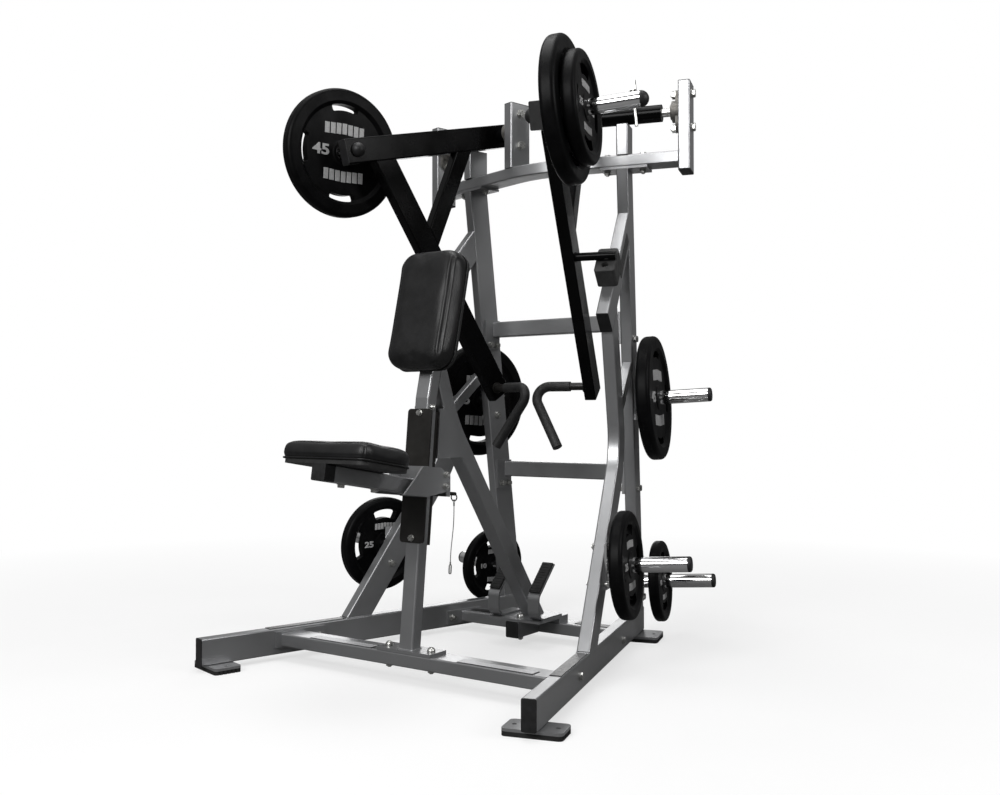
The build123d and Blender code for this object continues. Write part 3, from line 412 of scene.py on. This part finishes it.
def loft_faces(rows, count):
    """Faces of a closed body whose vertices are rows of count points, lowest row first."""
    faces = [tuple(reversed(range(count)))]
    for row in range(rows - 1):
        base = row * count
        for step in range(count):
            after = (step + 1) % count
            faces.append((base + step, base + after, base + count + after, base + count + step))
    faces.append(tuple(range((rows - 1) * count, rows * count)))
    return faces


def lofted_pad(name, width, length, front_radius, back_radius, profile, material):
    """Closed body from loops: profile holds (inset, height) pairs from the board up, in metres."""
    verts = []
    for inset, height in profile:
        front = max(front_radius - inset, SMALLEST_CORNER)
        back = max(back_radius - inset, SMALLEST_CORNER)
        loop = rounded_outline(width - 2 * inset, inset, length - inset, front, back)
        verts += [point + Vector((0, 0, height)) for point in loop]
    faces = loft_faces(len(profile), len(verts) // len(profile))
    return mesh_object(name, verts, faces, material)


PUFF_VOXEL = 0.005
PUFF_PRESSURE = 2.5
PUFF_CAP = 0.0035
PUFF_FRAMES = 20
HELD_BELOW = 0.003
RELAX_BEFORE = 2
RELAX_AFTER = 14


def puff(obj):
    """Voxel remesh, a short cloth simulation held at the board, then smoothing; no move exceeds the cap."""
    remesh = obj.modifiers.new("remesh", "REMESH")
    remesh.mode = "VOXEL"
    remesh.voxel_size = PUFF_VOXEL
    apply_modifiers(obj)
    relax(obj, RELAX_BEFORE)
    start = [v.co.copy() for v in obj.data.vertices]
    group = obj.vertex_groups.new(name="held")
    group.add([v.index for v in obj.data.vertices if v.co.z < HELD_BELOW], 1.0, "REPLACE")
    cloth = obj.modifiers.new("cloth", "CLOTH")
    settings = cloth.settings
    settings.quality = 6
    settings.mass = 0.4
    settings.tension_stiffness = 40
    settings.compression_stiffness = 40
    settings.shear_stiffness = 20
    settings.bending_stiffness = 2.0
    settings.use_pressure = True
    settings.uniform_pressure_force = PUFF_PRESSURE
    settings.vertex_group_mass = "held"
    settings.effector_weights.gravity = 0.0
    cloth.collision_settings.use_collision = False
    for number in range(1, PUFF_FRAMES + 1):
        bpy.context.scene.frame_set(number)
    apply_modifiers(obj)
    for vertex, before in zip(obj.data.vertices, start):
        move = vertex.co - before
        if move.length > PUFF_CAP:
            vertex.co = before + move.normalized() * PUFF_CAP
    bpy.context.scene.frame_set(1)
    obj.vertex_groups.clear()
    relax(obj, RELAX_AFTER)
    return obj


def relax(obj, passes):
    """Move every vertex half way to the middle of its neighbours, as many times as told."""
    axes = {"use_axis_x": True, "use_axis_y": True, "use_axis_z": True}
    for _ in range(passes):
        bm = bmesh.new()
        bm.from_mesh(obj.data)
        bmesh.ops.smooth_vert(bm, verts=bm.verts, factor=0.5, **axes)
        bm.to_mesh(obj.data)
        bm.free()


def subdivide(obj):
    """One level of subdivision, applied, with smooth shading."""
    modifier = obj.modifiers.new("subdivision", "SUBSURF")
    modifier.levels = 1
    modifier.render_levels = 1
    apply_modifiers(obj)
    for polygon in obj.data.polygons:
        polygon.use_smooth = True
    return obj


def press(obj, depth_at):
    """Move each vertex along its normal by a function of its place."""
    normals = [v.normal.copy() for v in obj.data.vertices]
    for vertex, normal in zip(obj.data.vertices, normals):
        vertex.co += normal * depth_at(vertex.co, normal)
    obj.data.update()


def bell(distance, width):
    """Bump of height 1 at distance 0, as wide as told."""
    return math.exp(-(distance / width) ** 2)


def swept_tube(name, points, radius_at, material, closed=False, sides=10):
    """Round tube along points; radius_at gives the radius at each index."""
    verts = []
    count = len(points)
    for index, point in enumerate(points):
        before = points[index - 1] if index or closed else points[0]
        after = points[(index + 1) % count] if index < count - 1 or closed else points[-1]
        direction = (after - before).normalized()
        helper = UP if abs(direction.z) < 0.9 else Vector((1, 0, 0))
        first = direction.cross(helper).normalized()
        second = direction.cross(first).normalized()
        for step in range(sides):
            turn = 2 * math.pi * step / sides
            verts.append(point + (first * math.cos(turn) + second * math.sin(turn)) * radius_at(index))
    faces = []
    for index in range(count if closed else count - 1):
        low = index * sides
        high = ((index + 1) % count) * sides
        for step in range(sides):
            after = (step + 1) % sides
            faces.append((low + step, low + after, high + after, high + step))
    if not closed:
        faces.append(tuple(reversed(range(sides))))
        faces.append(tuple(range((count - 1) * sides, count * sides)))
    return mesh_object(name, verts, faces, material)


def even_points(corners, spacing, closed=False):
    """Points at an even spacing along a polyline."""
    ends = list(zip(corners, corners[1:] + corners[:1])) if closed else list(zip(corners, corners[1:]))
    points = []
    for start, end in ends:
        steps = max(1, round((end - start).length / spacing))
        points += [start.lerp(end, step / steps) for step in range(steps)]
    if not closed:
        points.append(corners[-1])
    return points


def circle_points(matrix, radius, count):
    """Points of a circle in the matrix's XY plane."""
    turns = [2 * math.pi * step / count for step in range(count)]
    return [matrix @ Vector((radius * math.cos(t), radius * math.sin(t), 0)) for t in turns]


WELD_RIPPLE = 0.16
WELD_RIPPLE_TURN = 2.1


def weld(name, points, body, material, radius=0.0028):
    """Weld bead: a closed tube with the ripples that a torch leaves."""
    def ripple(index):
        return radius * (1 + WELD_RIPPLE * math.sin(index * WELD_RIPPLE_TURN))

    bead = swept_tube(name, points, ripple, material, closed=True, sides=8)
    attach(bead, body)


# ---- cushions: X across, Y from one end to the other, Z away from the board ----
HALF_BOARD = 6 * MM
SMALLEST_CORNER = 0.004
WELT_HEIGHT = 0.003
WELT_RADIUS = 0.0026
SEAM = 0.0034
SEAM_GROOVE = 0.0032
SEAM_DEPTH = 0.0016
SIDE_SEAM = 0.0026
SIDE_SEAM_DEPTH = 0.0012
STITCH_PITCH = 0.006
ABOVE_CUSHION = 0.2

PAD_LEAN = math.radians(13.65)
PAD_W = 244 * MM
PAD_L = 397 * MM
PAD_CORNER = 0.058
PAD_SEAM_IN = 0.0215
PAD_RIDGES_IN = (0.0135, 0.030)

SEAT_LEAN = math.radians(9.0)
SEAT_W = 336 * MM
SEAT_L = 262 * MM
SEAT_FRONT_CORNER = 0.032
SEAT_BACK_CORNER = 0.100
SEAT_RIDGES = (38.0, 56.0)
SEAT_GROOVE = 47.0


def centre_of(node):
    low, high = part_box(node)
    return (low + high) / 2


def side_seam(co, normal, height):
    """Depth of the seam that runs round a cushion's side."""
    return bell(co.z - height, SIDE_SEAM) * (1 - abs(normal.z)) * SIDE_SEAM_DEPTH


def surface_of(obj):
    return BVHTree.FromObject(obj, bpy.context.evaluated_depsgraph_get())


def set_cushion(cushion, extras, place, body):
    """Put the cushion and its trimmings in place, on their body."""
    for piece in (cushion, *extras):
        piece.matrix_world = place
        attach(piece, body)


def chest_pad():
    up = Vector((0, math.sin(PAD_LEAN), math.cos(PAD_LEAN)))
    normal = Vector((0, -math.cos(PAD_LEAN), math.sin(PAD_LEAN)))
    middle = centre_of("chest_pad_board") + normal * HALF_BOARD
    place = facing(middle - up * PAD_L / 2, normal, up)
    profile = [(0.010, 0.000), (0.004, 0.003), (0.0025, 0.012), (0.0025, 0.040), (0.005, 0.052),
               (0.012, 0.060), (0.024, 0.0635), (0.045, 0.0645)]
    look = LOOKS["cushion_vinyl"]
    pad = lofted_pad("chest cushion", PAD_W, PAD_L, PAD_CORNER, PAD_CORNER, profile, look)
    puff(pad)
    subdivide(pad)
    edge = PAD_W / 2

    def seams(co, normal):
        """A sewn seam with a ridge each side along both long edges, fading out near the ends."""
        fade = min(1.0, max(0.0, (min(co.y, PAD_L - co.y) - 0.030) / 0.02))
        front = max(0.0, normal.z) ** 0.5
        ridge = sum(bell(abs(co.x) - (edge - inset), SEAM) for inset in PAD_RIDGES_IN) * SEAM_DEPTH
        groove = bell(abs(co.x) - (edge - PAD_SEAM_IN), SEAM_GROOVE) * SEAM_DEPTH
        return (ridge - groove) * fade * front - side_seam(co, normal, 0.014)

    press(pad, seams)
    surface = surface_of(pad)
    extras = []
    for sign in (-1, 1):
        x = sign * (edge - PAD_SEAM_IN)
        starts = [Vector((x, y, ABOVE_CUSHION)) for y in spaced(0.035, PAD_L - 0.035, STITCH_PITCH)]
        extras.append(stitches("chest stitching", surface, starts, -UP, Vector((0, 1, 0))))
    extras.append(edge_welt("chest welt", PAD_W, PAD_L, PAD_CORNER, PAD_CORNER))
    set_cushion(pad, extras, place, "frame")
    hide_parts("chest_pad")


def spaced(start, end, pitch):
    """Numbers from start, a pitch apart, up to the end."""
    count = int((end - start) / pitch)
    return [start + pitch * step for step in range(count + 1)]


THREAD_R = 0.0005
THREAD_HALF = 0.0019
THREAD_RISE = 0.0004


def stitches(name, surface, starts, direction, along):
    """A row of short threads laid on the surface below the starts."""
    verts, faces = [], []
    across = along.cross(direction).normalized()
    for start in starts:
        hit, normal, _, _ = surface.ray_cast(start, direction)
        if hit is None:
            continue
        top = hit + normal * THREAD_RISE
        base = len(verts)
        for end in (-1, 1):
            for turn in range(6):
                angle = math.pi / 3 * turn
                offset = across * math.cos(angle) * THREAD_R + normal * math.sin(angle) * THREAD_R
                verts.append(top + along * end * THREAD_HALF + offset)
        for turn in range(6):
            after = (turn + 1) % 6
            faces.append((base + turn, base + after, base + 6 + after, base + 6 + turn))
        faces.append(tuple(base + turn for turn in reversed(range(6))))
        faces.append(tuple(base + 6 + turn for turn in range(6)))
    return mesh_object(name, verts, faces, THREAD)


WELT_INSET = 0.004
WELT_STEP = 0.008


def edge_welt(name, width, length, front_radius, back_radius):
    """Piping around the cushion where it meets its board."""
    inset = WELT_INSET
    corners = (front_radius - inset, back_radius - inset)
    loop = rounded_outline(width - 2 * inset, inset, length - inset, *corners)
    points = even_points([point + UP * WELT_HEIGHT for point in loop], WELT_STEP, closed=True)
    return swept_tube(name, points, lambda index: WELT_RADIUS, LOOKS["cushion_vinyl"], closed=True)


def seat_cushion():
    along, normal = seat_axes()
    middle = centre_of("seat_board") + normal * HALF_BOARD
    place = facing(middle - along * SEAT_L / 2, normal, along)
    profile = [(0.010, 0.000), (0.004, 0.003), (0.0025, 0.010), (0.0025, 0.034), (0.005, 0.044),
               (0.013, 0.050), (0.026, 0.053), (0.048, 0.0535)]
    look = LOOKS["cushion_vinyl"]
    cushion = lofted_pad("seat cushion", SEAT_W, SEAT_L, SEAT_FRONT_CORNER, SEAT_BACK_CORNER, profile, look)
    puff(cushion)
    subdivide(cushion)
    corner = Vector((SEAT_W / 2 - SEAT_FRONT_CORNER, SEAT_FRONT_CORNER))

    def corner_seam(co, normal):
        """Upright seam with a ridge each side, on the wall of each front corner."""
        out = Vector((abs(co.x), co.y)) - corner
        if out.x <= 0 or out.y >= 0:
            return 0.0
        bend = math.degrees(math.atan2(-out.y, max(out.x, 1e-4)))
        wall = (1 - abs(normal.z)) * min(1.0, max(0.0, (co.z - 0.006) / 0.006))
        ridge = sum(bell(math.radians(bend - angle) * out.length, SEAM) for angle in SEAT_RIDGES)
        groove = bell(math.radians(bend - SEAT_GROOVE) * out.length, 0.0030)
        return (ridge - groove) * SEAM_DEPTH * wall

    def seams(co, normal):
        edge = min(SEAT_W / 2 - abs(co.x), co.y, SEAT_L - co.y)
        channel = bell(edge - 0.020, SEAM) * max(0.0, normal.z) * 0.0014
        return corner_seam(co, normal) - side_seam(co, normal, 0.012) - channel

    press(cushion, seams)
    starts = [Vector((x, 0.024, ABOVE_CUSHION)) for x in spaced(-0.115, 0.115, STITCH_PITCH)]
    row = stitches("seat stitching", surface_of(cushion), starts, -UP, Vector((1, 0, 0)))
    welt = edge_welt("seat welt", SEAT_W, SEAT_L, SEAT_FRONT_CORNER, SEAT_BACK_CORNER)
    set_cushion(cushion, (row, welt), place, "seat")
    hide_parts("seat_cushion")


def seat_axes():
    """Directions back along the seat, and up out of it."""
    along = Vector((0, math.cos(SEAT_LEAN), -math.sin(SEAT_LEAN)))
    normal = Vector((0, math.sin(SEAT_LEAN), math.cos(SEAT_LEAN)))
    return along, normal


# ---- weight plates ----
NUMBER_STRETCH = 1.3
NUMBER_WEIGHT = 0.018
NUMBER_DEPTH = 0.0012
NUMBER_LIFT = 0.0006
BLOCK_DEPTH = 0.0016
BLOCKS = 7
BLOCK_GAP = 0.22
BLOCK_DROP = 0.06


def raised_number(name, text, size, matrix):
    """Raised plain number, turned into a mesh and stretched sideways."""
    curve = bpy.data.curves.new(name, "FONT")
    curve.body = text
    curve.size = size
    curve.align_x = "CENTER"
    curve.align_y = "CENTER"
    curve.extrude = NUMBER_DEPTH
    curve.offset = size * NUMBER_WEIGHT
    curve.bevel_depth = NUMBER_DEPTH * 0.3
    source = bpy.data.objects.new(name, curve)
    bpy.context.scene.collection.objects.link(source)
    bpy.context.view_layer.update()
    graph = bpy.context.evaluated_depsgraph_get()
    mesh = bpy.data.meshes.new_from_object(source.evaluated_get(graph))
    bpy.data.objects.remove(source)
    mesh.transform(Matrix.Diagonal((NUMBER_STRETCH, 1.0, 1.0, 1.0)))
    obj = new_object(name, mesh, MARK)
    obj.matrix_world = matrix
    return obj


def block_row(name, width, height, matrix):
    """Row of plain raised blocks with trimmed top edges, lower towards the row's ends."""
    depth = BLOCK_DEPTH
    pitch = width / BLOCKS
    half = pitch * (1 - BLOCK_GAP) / 2
    tall = height / 2
    verts, faces = [], []
    for index in range(BLOCKS):
        middle = pitch * (index - (BLOCKS - 1) / 2)
        rise = -abs(middle) * BLOCK_DROP
        base = len(verts)
        for level, trim in ((0.0, 0.0), (depth * 0.7, 0.0), (depth, depth * 0.5)):
            for x, y in ((-1, -1), (1, -1), (1, 1), (-1, 1)):
                verts.append(Vector((middle + x * (half - trim), rise + y * (tall - trim), level)))
        faces += [tuple(base + corner for corner in face) for face in loft_faces(3, 4)]
    obj = mesh_object(name, verts, faces, MARK, smooth=False)
    obj.matrix_world = matrix
    return obj


WEB = 0.6
PLATE_SIZES = {
    "45": {"half": 25.5, "mark": 92, "size": 52, "bar": 84, "bar_w": 164, "bar_h": 38},
    "25": {"half": 22.5, "mark": 68, "size": 30, "bar": 68, "bar_w": 92, "bar_h": 23},
    "10": {"half": 19.5, "mark": 59, "size": 26, "bar": 58, "bar_w": 72, "bar_h": 18},
}


def horn_axis(side):
    """Direction of a side frame's weight horns, outward and a little up."""
    return side_direction(side, math.cos(HORN_TILT), 0, math.sin(HORN_TILT))


def mark_plate(kind, side, out, along, height, body):
    """Two numbers and two rows of blocks on both faces of one plate."""
    size = PLATE_SIZES[kind]
    axis = horn_axis(side)
    up = side_direction(side, -math.sin(HORN_TILT), 0, math.cos(HORN_TILT))
    middle = side_point(side, out, along, height + out * math.tan(HORN_TILT))
    web = size["half"] * WEB * MM
    for sign in (-1, 1):
        face = facing(middle + axis * sign * web, axis * sign, up)
        for turn in (-1, 1):
            spot = face @ Matrix.Translation((turn * size["mark"] * MM, 0, NUMBER_LIFT))
            number = raised_number(f"plate {kind} number", kind, size["size"] * MM, spot)
            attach(number, body)
            tilt = Matrix.Rotation(0 if turn > 0 else math.pi, 4, "Z")
            spot = face @ tilt @ Matrix.Translation((0, size["bar"] * MM, 0))
            bar = block_row(f"plate {kind} bar", size["bar_w"] * MM, size["bar_h"] * MM, spot)
            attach(bar, body)


ARM_HORN = (508, 1757.0)
STORE_45 = (1236.5, 886.9)
STORE_25 = (768, 342.9)
STORE_10 = (1314, 211.5)


def mark_plates():
    for side in SIDES:
        mark_plate("45", side, -38, *ARM_HORN, f"arm_{side}")
        mark_plate("45", side, 89, *STORE_45, "frame")
        mark_plate("25", side, 88, *STORE_25, "frame")
        mark_plate("10", side, 96, *STORE_10, "frame")
    mark_plate("25", "right", 10.5, *ARM_HORN, "arm_right")


# ---- welds: places are in millimetres ----
WELD_STEP = 2 * MM
HORN_FACE = 29.5
HORN_WELD_R = 25.6
ARM_INNER = -101.6
HUB = (1156, 1908)
HUB_WELD_R = 31
STOP_TUBE = (850, 1360)
STOP_WELD_R = 14.4
UPRIGHT_FOOT = 1209.5 + (1150 - 108) * math.tan(UPRIGHT_LEAN)
UPRIGHT_WELD_HALF = 43.8
LEG_FOOT = 597.5
LEG_WELD_HALF = 53.7
FOOT_WELD_OUT = 19.5
RAIL_TOP = 107.9
POST_WELD_HALF = 27.2
POST_WELD_Y = (275.4, 321.0)
POST_WELD_Z = 101.4


def welds():
    for side in SIDES:
        for along, height in (STORE_45, STORE_25, STORE_10):
            middle = side_point(side, HORN_FACE, along, height + HORN_FACE * math.tan(HORN_TILT))
            spot = facing(middle, horn_axis(side), UP)
            weld("horn weld", circle_points(spot, HORN_WELD_R * MM, 60), "frame", LOOKS["horn_chrome"])
        outward = side_direction(side, 1, 0, 0)
        spot = facing(side_point(side, ARM_INNER, *HUB), outward, UP)
        weld("hub weld", circle_points(spot, HUB_WELD_R * MM, 70), f"arm_{side}", LOOKS["arm_paint"])
        spot = facing(side_point(side, ARM_INNER, *STOP_TUBE), outward, UP)
        weld("stop weld", circle_points(spot, STOP_WELD_R * MM, 34), f"arm_{side}", LOOKS["arm_paint"])
        weld_foot("upright weld", side, UPRIGHT_FOOT, UPRIGHT_WELD_HALF)
        weld_foot("leg weld", side, LEG_FOOT, LEG_WELD_HALF)
    front, back = POST_WELD_Y
    corners = [Vector((sign * POST_WELD_HALF * MM, y * MM + FRONT_Y, POST_WELD_Z * MM)) for sign, y in
               ((-1, front), (1, front), (1, back), (-1, back))]
    weld("post weld", even_points(corners, WELD_STEP, closed=True), "frame", LOOKS["frame_paint"])


def weld_foot(name, side, along, half):
    """Bead around a tube standing on the rail."""
    out = FOOT_WELD_OUT
    corners = [side_point(side, o, a, RAIL_TOP) for o, a in
               ((-out, along - half), (out, along - half), (out, along + half), (-out, along + half))]
    points = even_points(corners, WELD_STEP, closed=True)
    weld(name, points, "frame", LOOKS["frame_paint"], radius=0.0024)


# ---- zinc heads on the seat's painted plates, in millimetres ----
POST_LEAN = math.radians(5.88)
POST_FOOT = (276, 105)
CARRIAGE_BOLTS = (545.6, 509.0)
CARRIAGE_BOLT_BACK = 76.5
CARRIAGE_FACE = 58
SEAT_FRONT = (-104.0, 694.2)
SEAT_NUTS = (100.0, 245.0)
SEAT_TUBE_D = 49
WASHER_T = 2.4
HEAD_STEPS = 36


def hex_head(name, matrix, washer, across, height):
    """Washer and a hexagon with a chamfered top, lying on the matrix's plane."""
    rings = [(washer, 0.0, False), (washer, WASHER_T - 0.5, False), (washer - 0.5, WASHER_T, False),
             (across, WASHER_T + 0.1, True), (across, WASHER_T + height * 0.8, True),
             (across * 0.88, WASHER_T + 0.2 + height, True)]
    flat = math.radians(30)
    verts = []
    for radius, level, hexagon in rings:
        for step in range(HEAD_STEPS):
            turn = 2 * math.pi * step / HEAD_STEPS
            reach = radius * math.cos(flat) / math.cos(turn % (2 * flat) - flat) if hexagon else radius
            verts.append(Vector((reach * math.cos(turn), reach * math.sin(turn), level)) * MM)
    head = mesh_object(name, verts, loft_faces(len(rings), HEAD_STEPS), LOOKS["zinc"], smooth=False)
    head.matrix_world = matrix
    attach(head, "seat")


def seat_heads():
    up = Vector((0, math.sin(POST_LEAN), math.cos(POST_LEAN)))
    out = Vector((0, -math.cos(POST_LEAN), math.sin(POST_LEAN)))
    foot = Vector((0, POST_FOOT[0] * MM + FRONT_Y, POST_FOOT[1] * MM))
    for height in CARRIAGE_BOLTS:
        for sign in (-1, 1):
            sideways = Vector((sign, 0, 0))
            spot = foot + (up * height - out * CARRIAGE_BOLT_BACK + sideways * CARRIAGE_FACE) * MM
            hex_head("carriage bolt", facing(spot, sideways, up), 10.8, 9.9, 8.2)
    along, normal = seat_axes()
    front = Vector((0, SEAT_FRONT[0] * MM + FRONT_Y, SEAT_FRONT[1] * MM))
    for back in SEAT_NUTS:
        spot = front + (along * back - normal * SEAT_TUBE_D) * MM
        hex_head("seat nut", facing(spot, -normal, along), 13.3, 10.9, 8.4)


# ---- name strips, left blank: places and size are in millimetres ----
STRIPS_X = (-268, 339)
STRIP_Y = 289
STRIP_Z = 92.5
STRIP_SIZE = (262, 34)
STRIP_CORNER = 4 * MM


def name_strips():
    for x in STRIPS_X:
        base = Vector((x * MM, STRIP_Y * MM + FRONT_Y, STRIP_Z * MM))
        width, height = STRIP_SIZE
        plate = framed_plate("blank strip", width * MM, height * MM, Matrix.Translation(base))
        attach(plate, "frame")


def framed_plate(name, width, height, matrix):
    """Thin plate with rounded corners and a raised plain border."""
    bm = bmesh.new()
    loops = []
    for inset, level in ((0.0, 0.0), (0.0, 0.0006), (0.002, 0.0008), (0.0035, 0.0005)):
        half = height / 2 - inset
        corner = max(STRIP_CORNER - inset, 0.001)
        outline = rounded_outline(width - 2 * inset, -half, half, corner, corner, 4)
        loops.append([bm.verts.new(point + Vector((0, 0, level))) for point in outline])
    for first, second in zip(loops, loops[1:]):
        count = len(first)
        for step in range(count):
            after = (step + 1) % count
            bm.faces.new((first[step], first[after], second[after], second[step]))
    bm.faces.new(loops[-1])
    bm.faces.new(list(reversed(loops[0])))
    mesh = bpy.data.meshes.new(name)
    bm.to_mesh(mesh)
    bm.free()
    obj = new_object(name, mesh, STRIP)
    obj.matrix_world = matrix
    return obj


# ---- lanyard ----
LANYARD_ROUTE = [(0, 0), (0, -30), (-3.0, -68), (-10.0, -108), (-17.5, -148), (-19.5, -182)]
LANYARD_R = 1.5 * MM


def lanyard():
    """Wire cable from the latch ring's crimp down to the snap hook."""
    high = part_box("lanyard_cable")[1]
    top = Vector((0, high.y - LANYARD_R, high.z))
    curve = bpy.data.curves.new("lanyard", "CURVE")
    curve.dimensions = "3D"
    curve.bevel_depth = LANYARD_R
    curve.bevel_resolution = 4
    curve.resolution_u = 12
    spline = curve.splines.new("NURBS")
    spline.points.add(len(LANYARD_ROUTE) - 1)
    for point, (back, up) in zip(spline.points, LANYARD_ROUTE):
        point.co = (0, top.y + back * MM, top.z + up * MM, 1)
    spline.order_u = 3
    spline.use_endpoint_u = True
    obj = bpy.data.objects.new("lanyard", curve)
    bpy.context.scene.collection.objects.link(obj)
    curve.materials.append(LOOKS["cable_wire"])
    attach(obj, "latch")
    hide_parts("lanyard_cable")


# ---- stage, light and camera ----
FLOOR_HALF = 30
FLOOR_SHADOWS_TO = 1.2
FLOOR_WHITE_FROM = 4.0


def link_all(links, pairs):
    for output, socket in pairs:
        links.new(output, socket)


def floor():
    """White floor: soft shadows near the origin, white further out, dark grey to every reflection."""
    look = Look("floor", (0.9, 0.9, 0.9), roughness=0.8, specular=0.1)
    look.tint(look.noise(0.8, 3), (0.86, 0.86, 0.86), (0.9, 0.9, 0.9))
    nodes, links = look.nodes, look.links
    glow = nodes.new("ShaderNodeEmission")
    distance = nodes.new("ShaderNodeVectorMath")
    distance.operation = "LENGTH"
    links.new(look.place, distance.inputs[0])
    far = look.between(distance.outputs["Value"], 0.62, 1.0, FLOOR_SHADOWS_TO, FLOOR_WHITE_FROM)
    ray = nodes.new("ShaderNodeLightPath")
    dim = nodes.new("ShaderNodeBsdfDiffuse")
    dim.inputs["Color"].default_value = (0.16, 0.16, 0.16, 1)
    seen = nodes.new("ShaderNodeMixShader")
    split = nodes.new("ShaderNodeMixShader")
    link_all(links, [
        (far, seen.inputs["Fac"]),
        (look.shader.outputs["BSDF"], seen.inputs[1]),
        (glow.outputs["Emission"], seen.inputs[2]),
        (ray.outputs["Is Camera Ray"], split.inputs["Fac"]),
        (dim.outputs["BSDF"], split.inputs[1]),
        (seen.outputs["Shader"], split.inputs[2]),
        (split.outputs["Shader"], nodes["Material Output"].inputs["Surface"]),
    ])
    corners = [(x * FLOOR_HALF, y * FLOOR_HALF, 0) for x, y in ((-1, -1), (1, -1), (1, 1), (-1, 1))]
    plane = mesh_object("floor", corners, [(0, 1, 2, 3)], look.material)


def softbox(name, place, target, size, power):
    """Rectangular lamp of so many watts, aimed at the target."""
    data = bpy.data.lights.new(name, "AREA")
    data.shape = "RECTANGLE"
    data.size, data.size_y = size
    data.energy = power
    obj = bpy.data.objects.new(name, data)
    bpy.context.scene.collection.objects.link(obj)
    obj.location = place
    obj.rotation_euler = (Vector(target) - Vector(place)).to_track_quat("-Z", "Y").to_euler()


# name, place, target, width and height, watts
SOFTBOXES = [
    ("front", (0.3, -5.2, 3.5), (0, 0.2, 1.3), (3.0, 2.2), 215),
    ("back left", (-3.4, 4.4, 1.9), (0, 0, 0.6), (3.2, 2.2), 45),
    ("right", (4.2, 0.4, 3.0), (0, 0.2, 1.0), (1.6, 1.6), 60),
    ("top", (-0.2, -0.2, 4.6), (0, 0.1, 0.8), (2.6, 2.2), 70),
]
ROOM_BELOW = 0.05
ROOM_ABOVE = 0.42


def studio():
    """White backdrop to the camera; the room that lights the object is dimmer, with soft boxes round it."""
    world = bpy.data.worlds.new("studio")
    bpy.context.scene.world = world
    world.use_nodes = True
    nodes, links = world.node_tree.nodes, world.node_tree.links
    background = nodes["Background"]
    place = nodes.new("ShaderNodeTexCoord")
    split = nodes.new("ShaderNodeSeparateXYZ")
    links.new(place.outputs["Generated"], split.inputs[0])
    ramp = nodes.new("ShaderNodeMapRange")
    room = {"From Min": -0.1, "From Max": 0.9, "To Min": ROOM_BELOW, "To Max": ROOM_ABOVE}
    for name, value in room.items():
        ramp.inputs[name].default_value = value
    links.new(split.outputs["Z"], ramp.inputs["Value"])
    ray = nodes.new("ShaderNodeLightPath")
    mix = nodes.new("ShaderNodeMix")
    mix.data_type = "FLOAT"
    links.new(ray.outputs["Is Camera Ray"], mix.inputs["Factor"])
    links.new(ramp.outputs["Result"], mix.inputs["A"])
    mix.inputs["B"].default_value = 1.0
    links.new(mix.outputs["Result"], background.inputs["Strength"])
    background.inputs["Color"].default_value = (1, 1, 1, 1)
    for lamp in SOFTBOXES:
        softbox(*lamp)


CAMERA_PLACE = (2.0899, -2.2454 + FRONT_Y, 0.8253)
CAMERA_TURN = (91.03, 0.0, 34.50)
CAMERA_LENS = 37.70


def camera():
    data = bpy.data.cameras.new("camera")
    data.sensor_width = 36.0
    data.lens = CAMERA_LENS
    obj = bpy.data.objects.new("camera", data)
    bpy.context.scene.collection.objects.link(obj)
    obj.location = CAMERA_PLACE
    obj.rotation_euler = [math.radians(angle) for angle in CAMERA_TURN]
    bpy.context.scene.camera = obj


dress_cad()
chest_pad()
seat_cushion()
mark_plates()
welds()
seat_heads()
name_strips()
lanyard()
floor()
studio()
camera()
bpy.context.scene.view_settings.view_transform = "Standard"

bpy.context.view_layer.update()
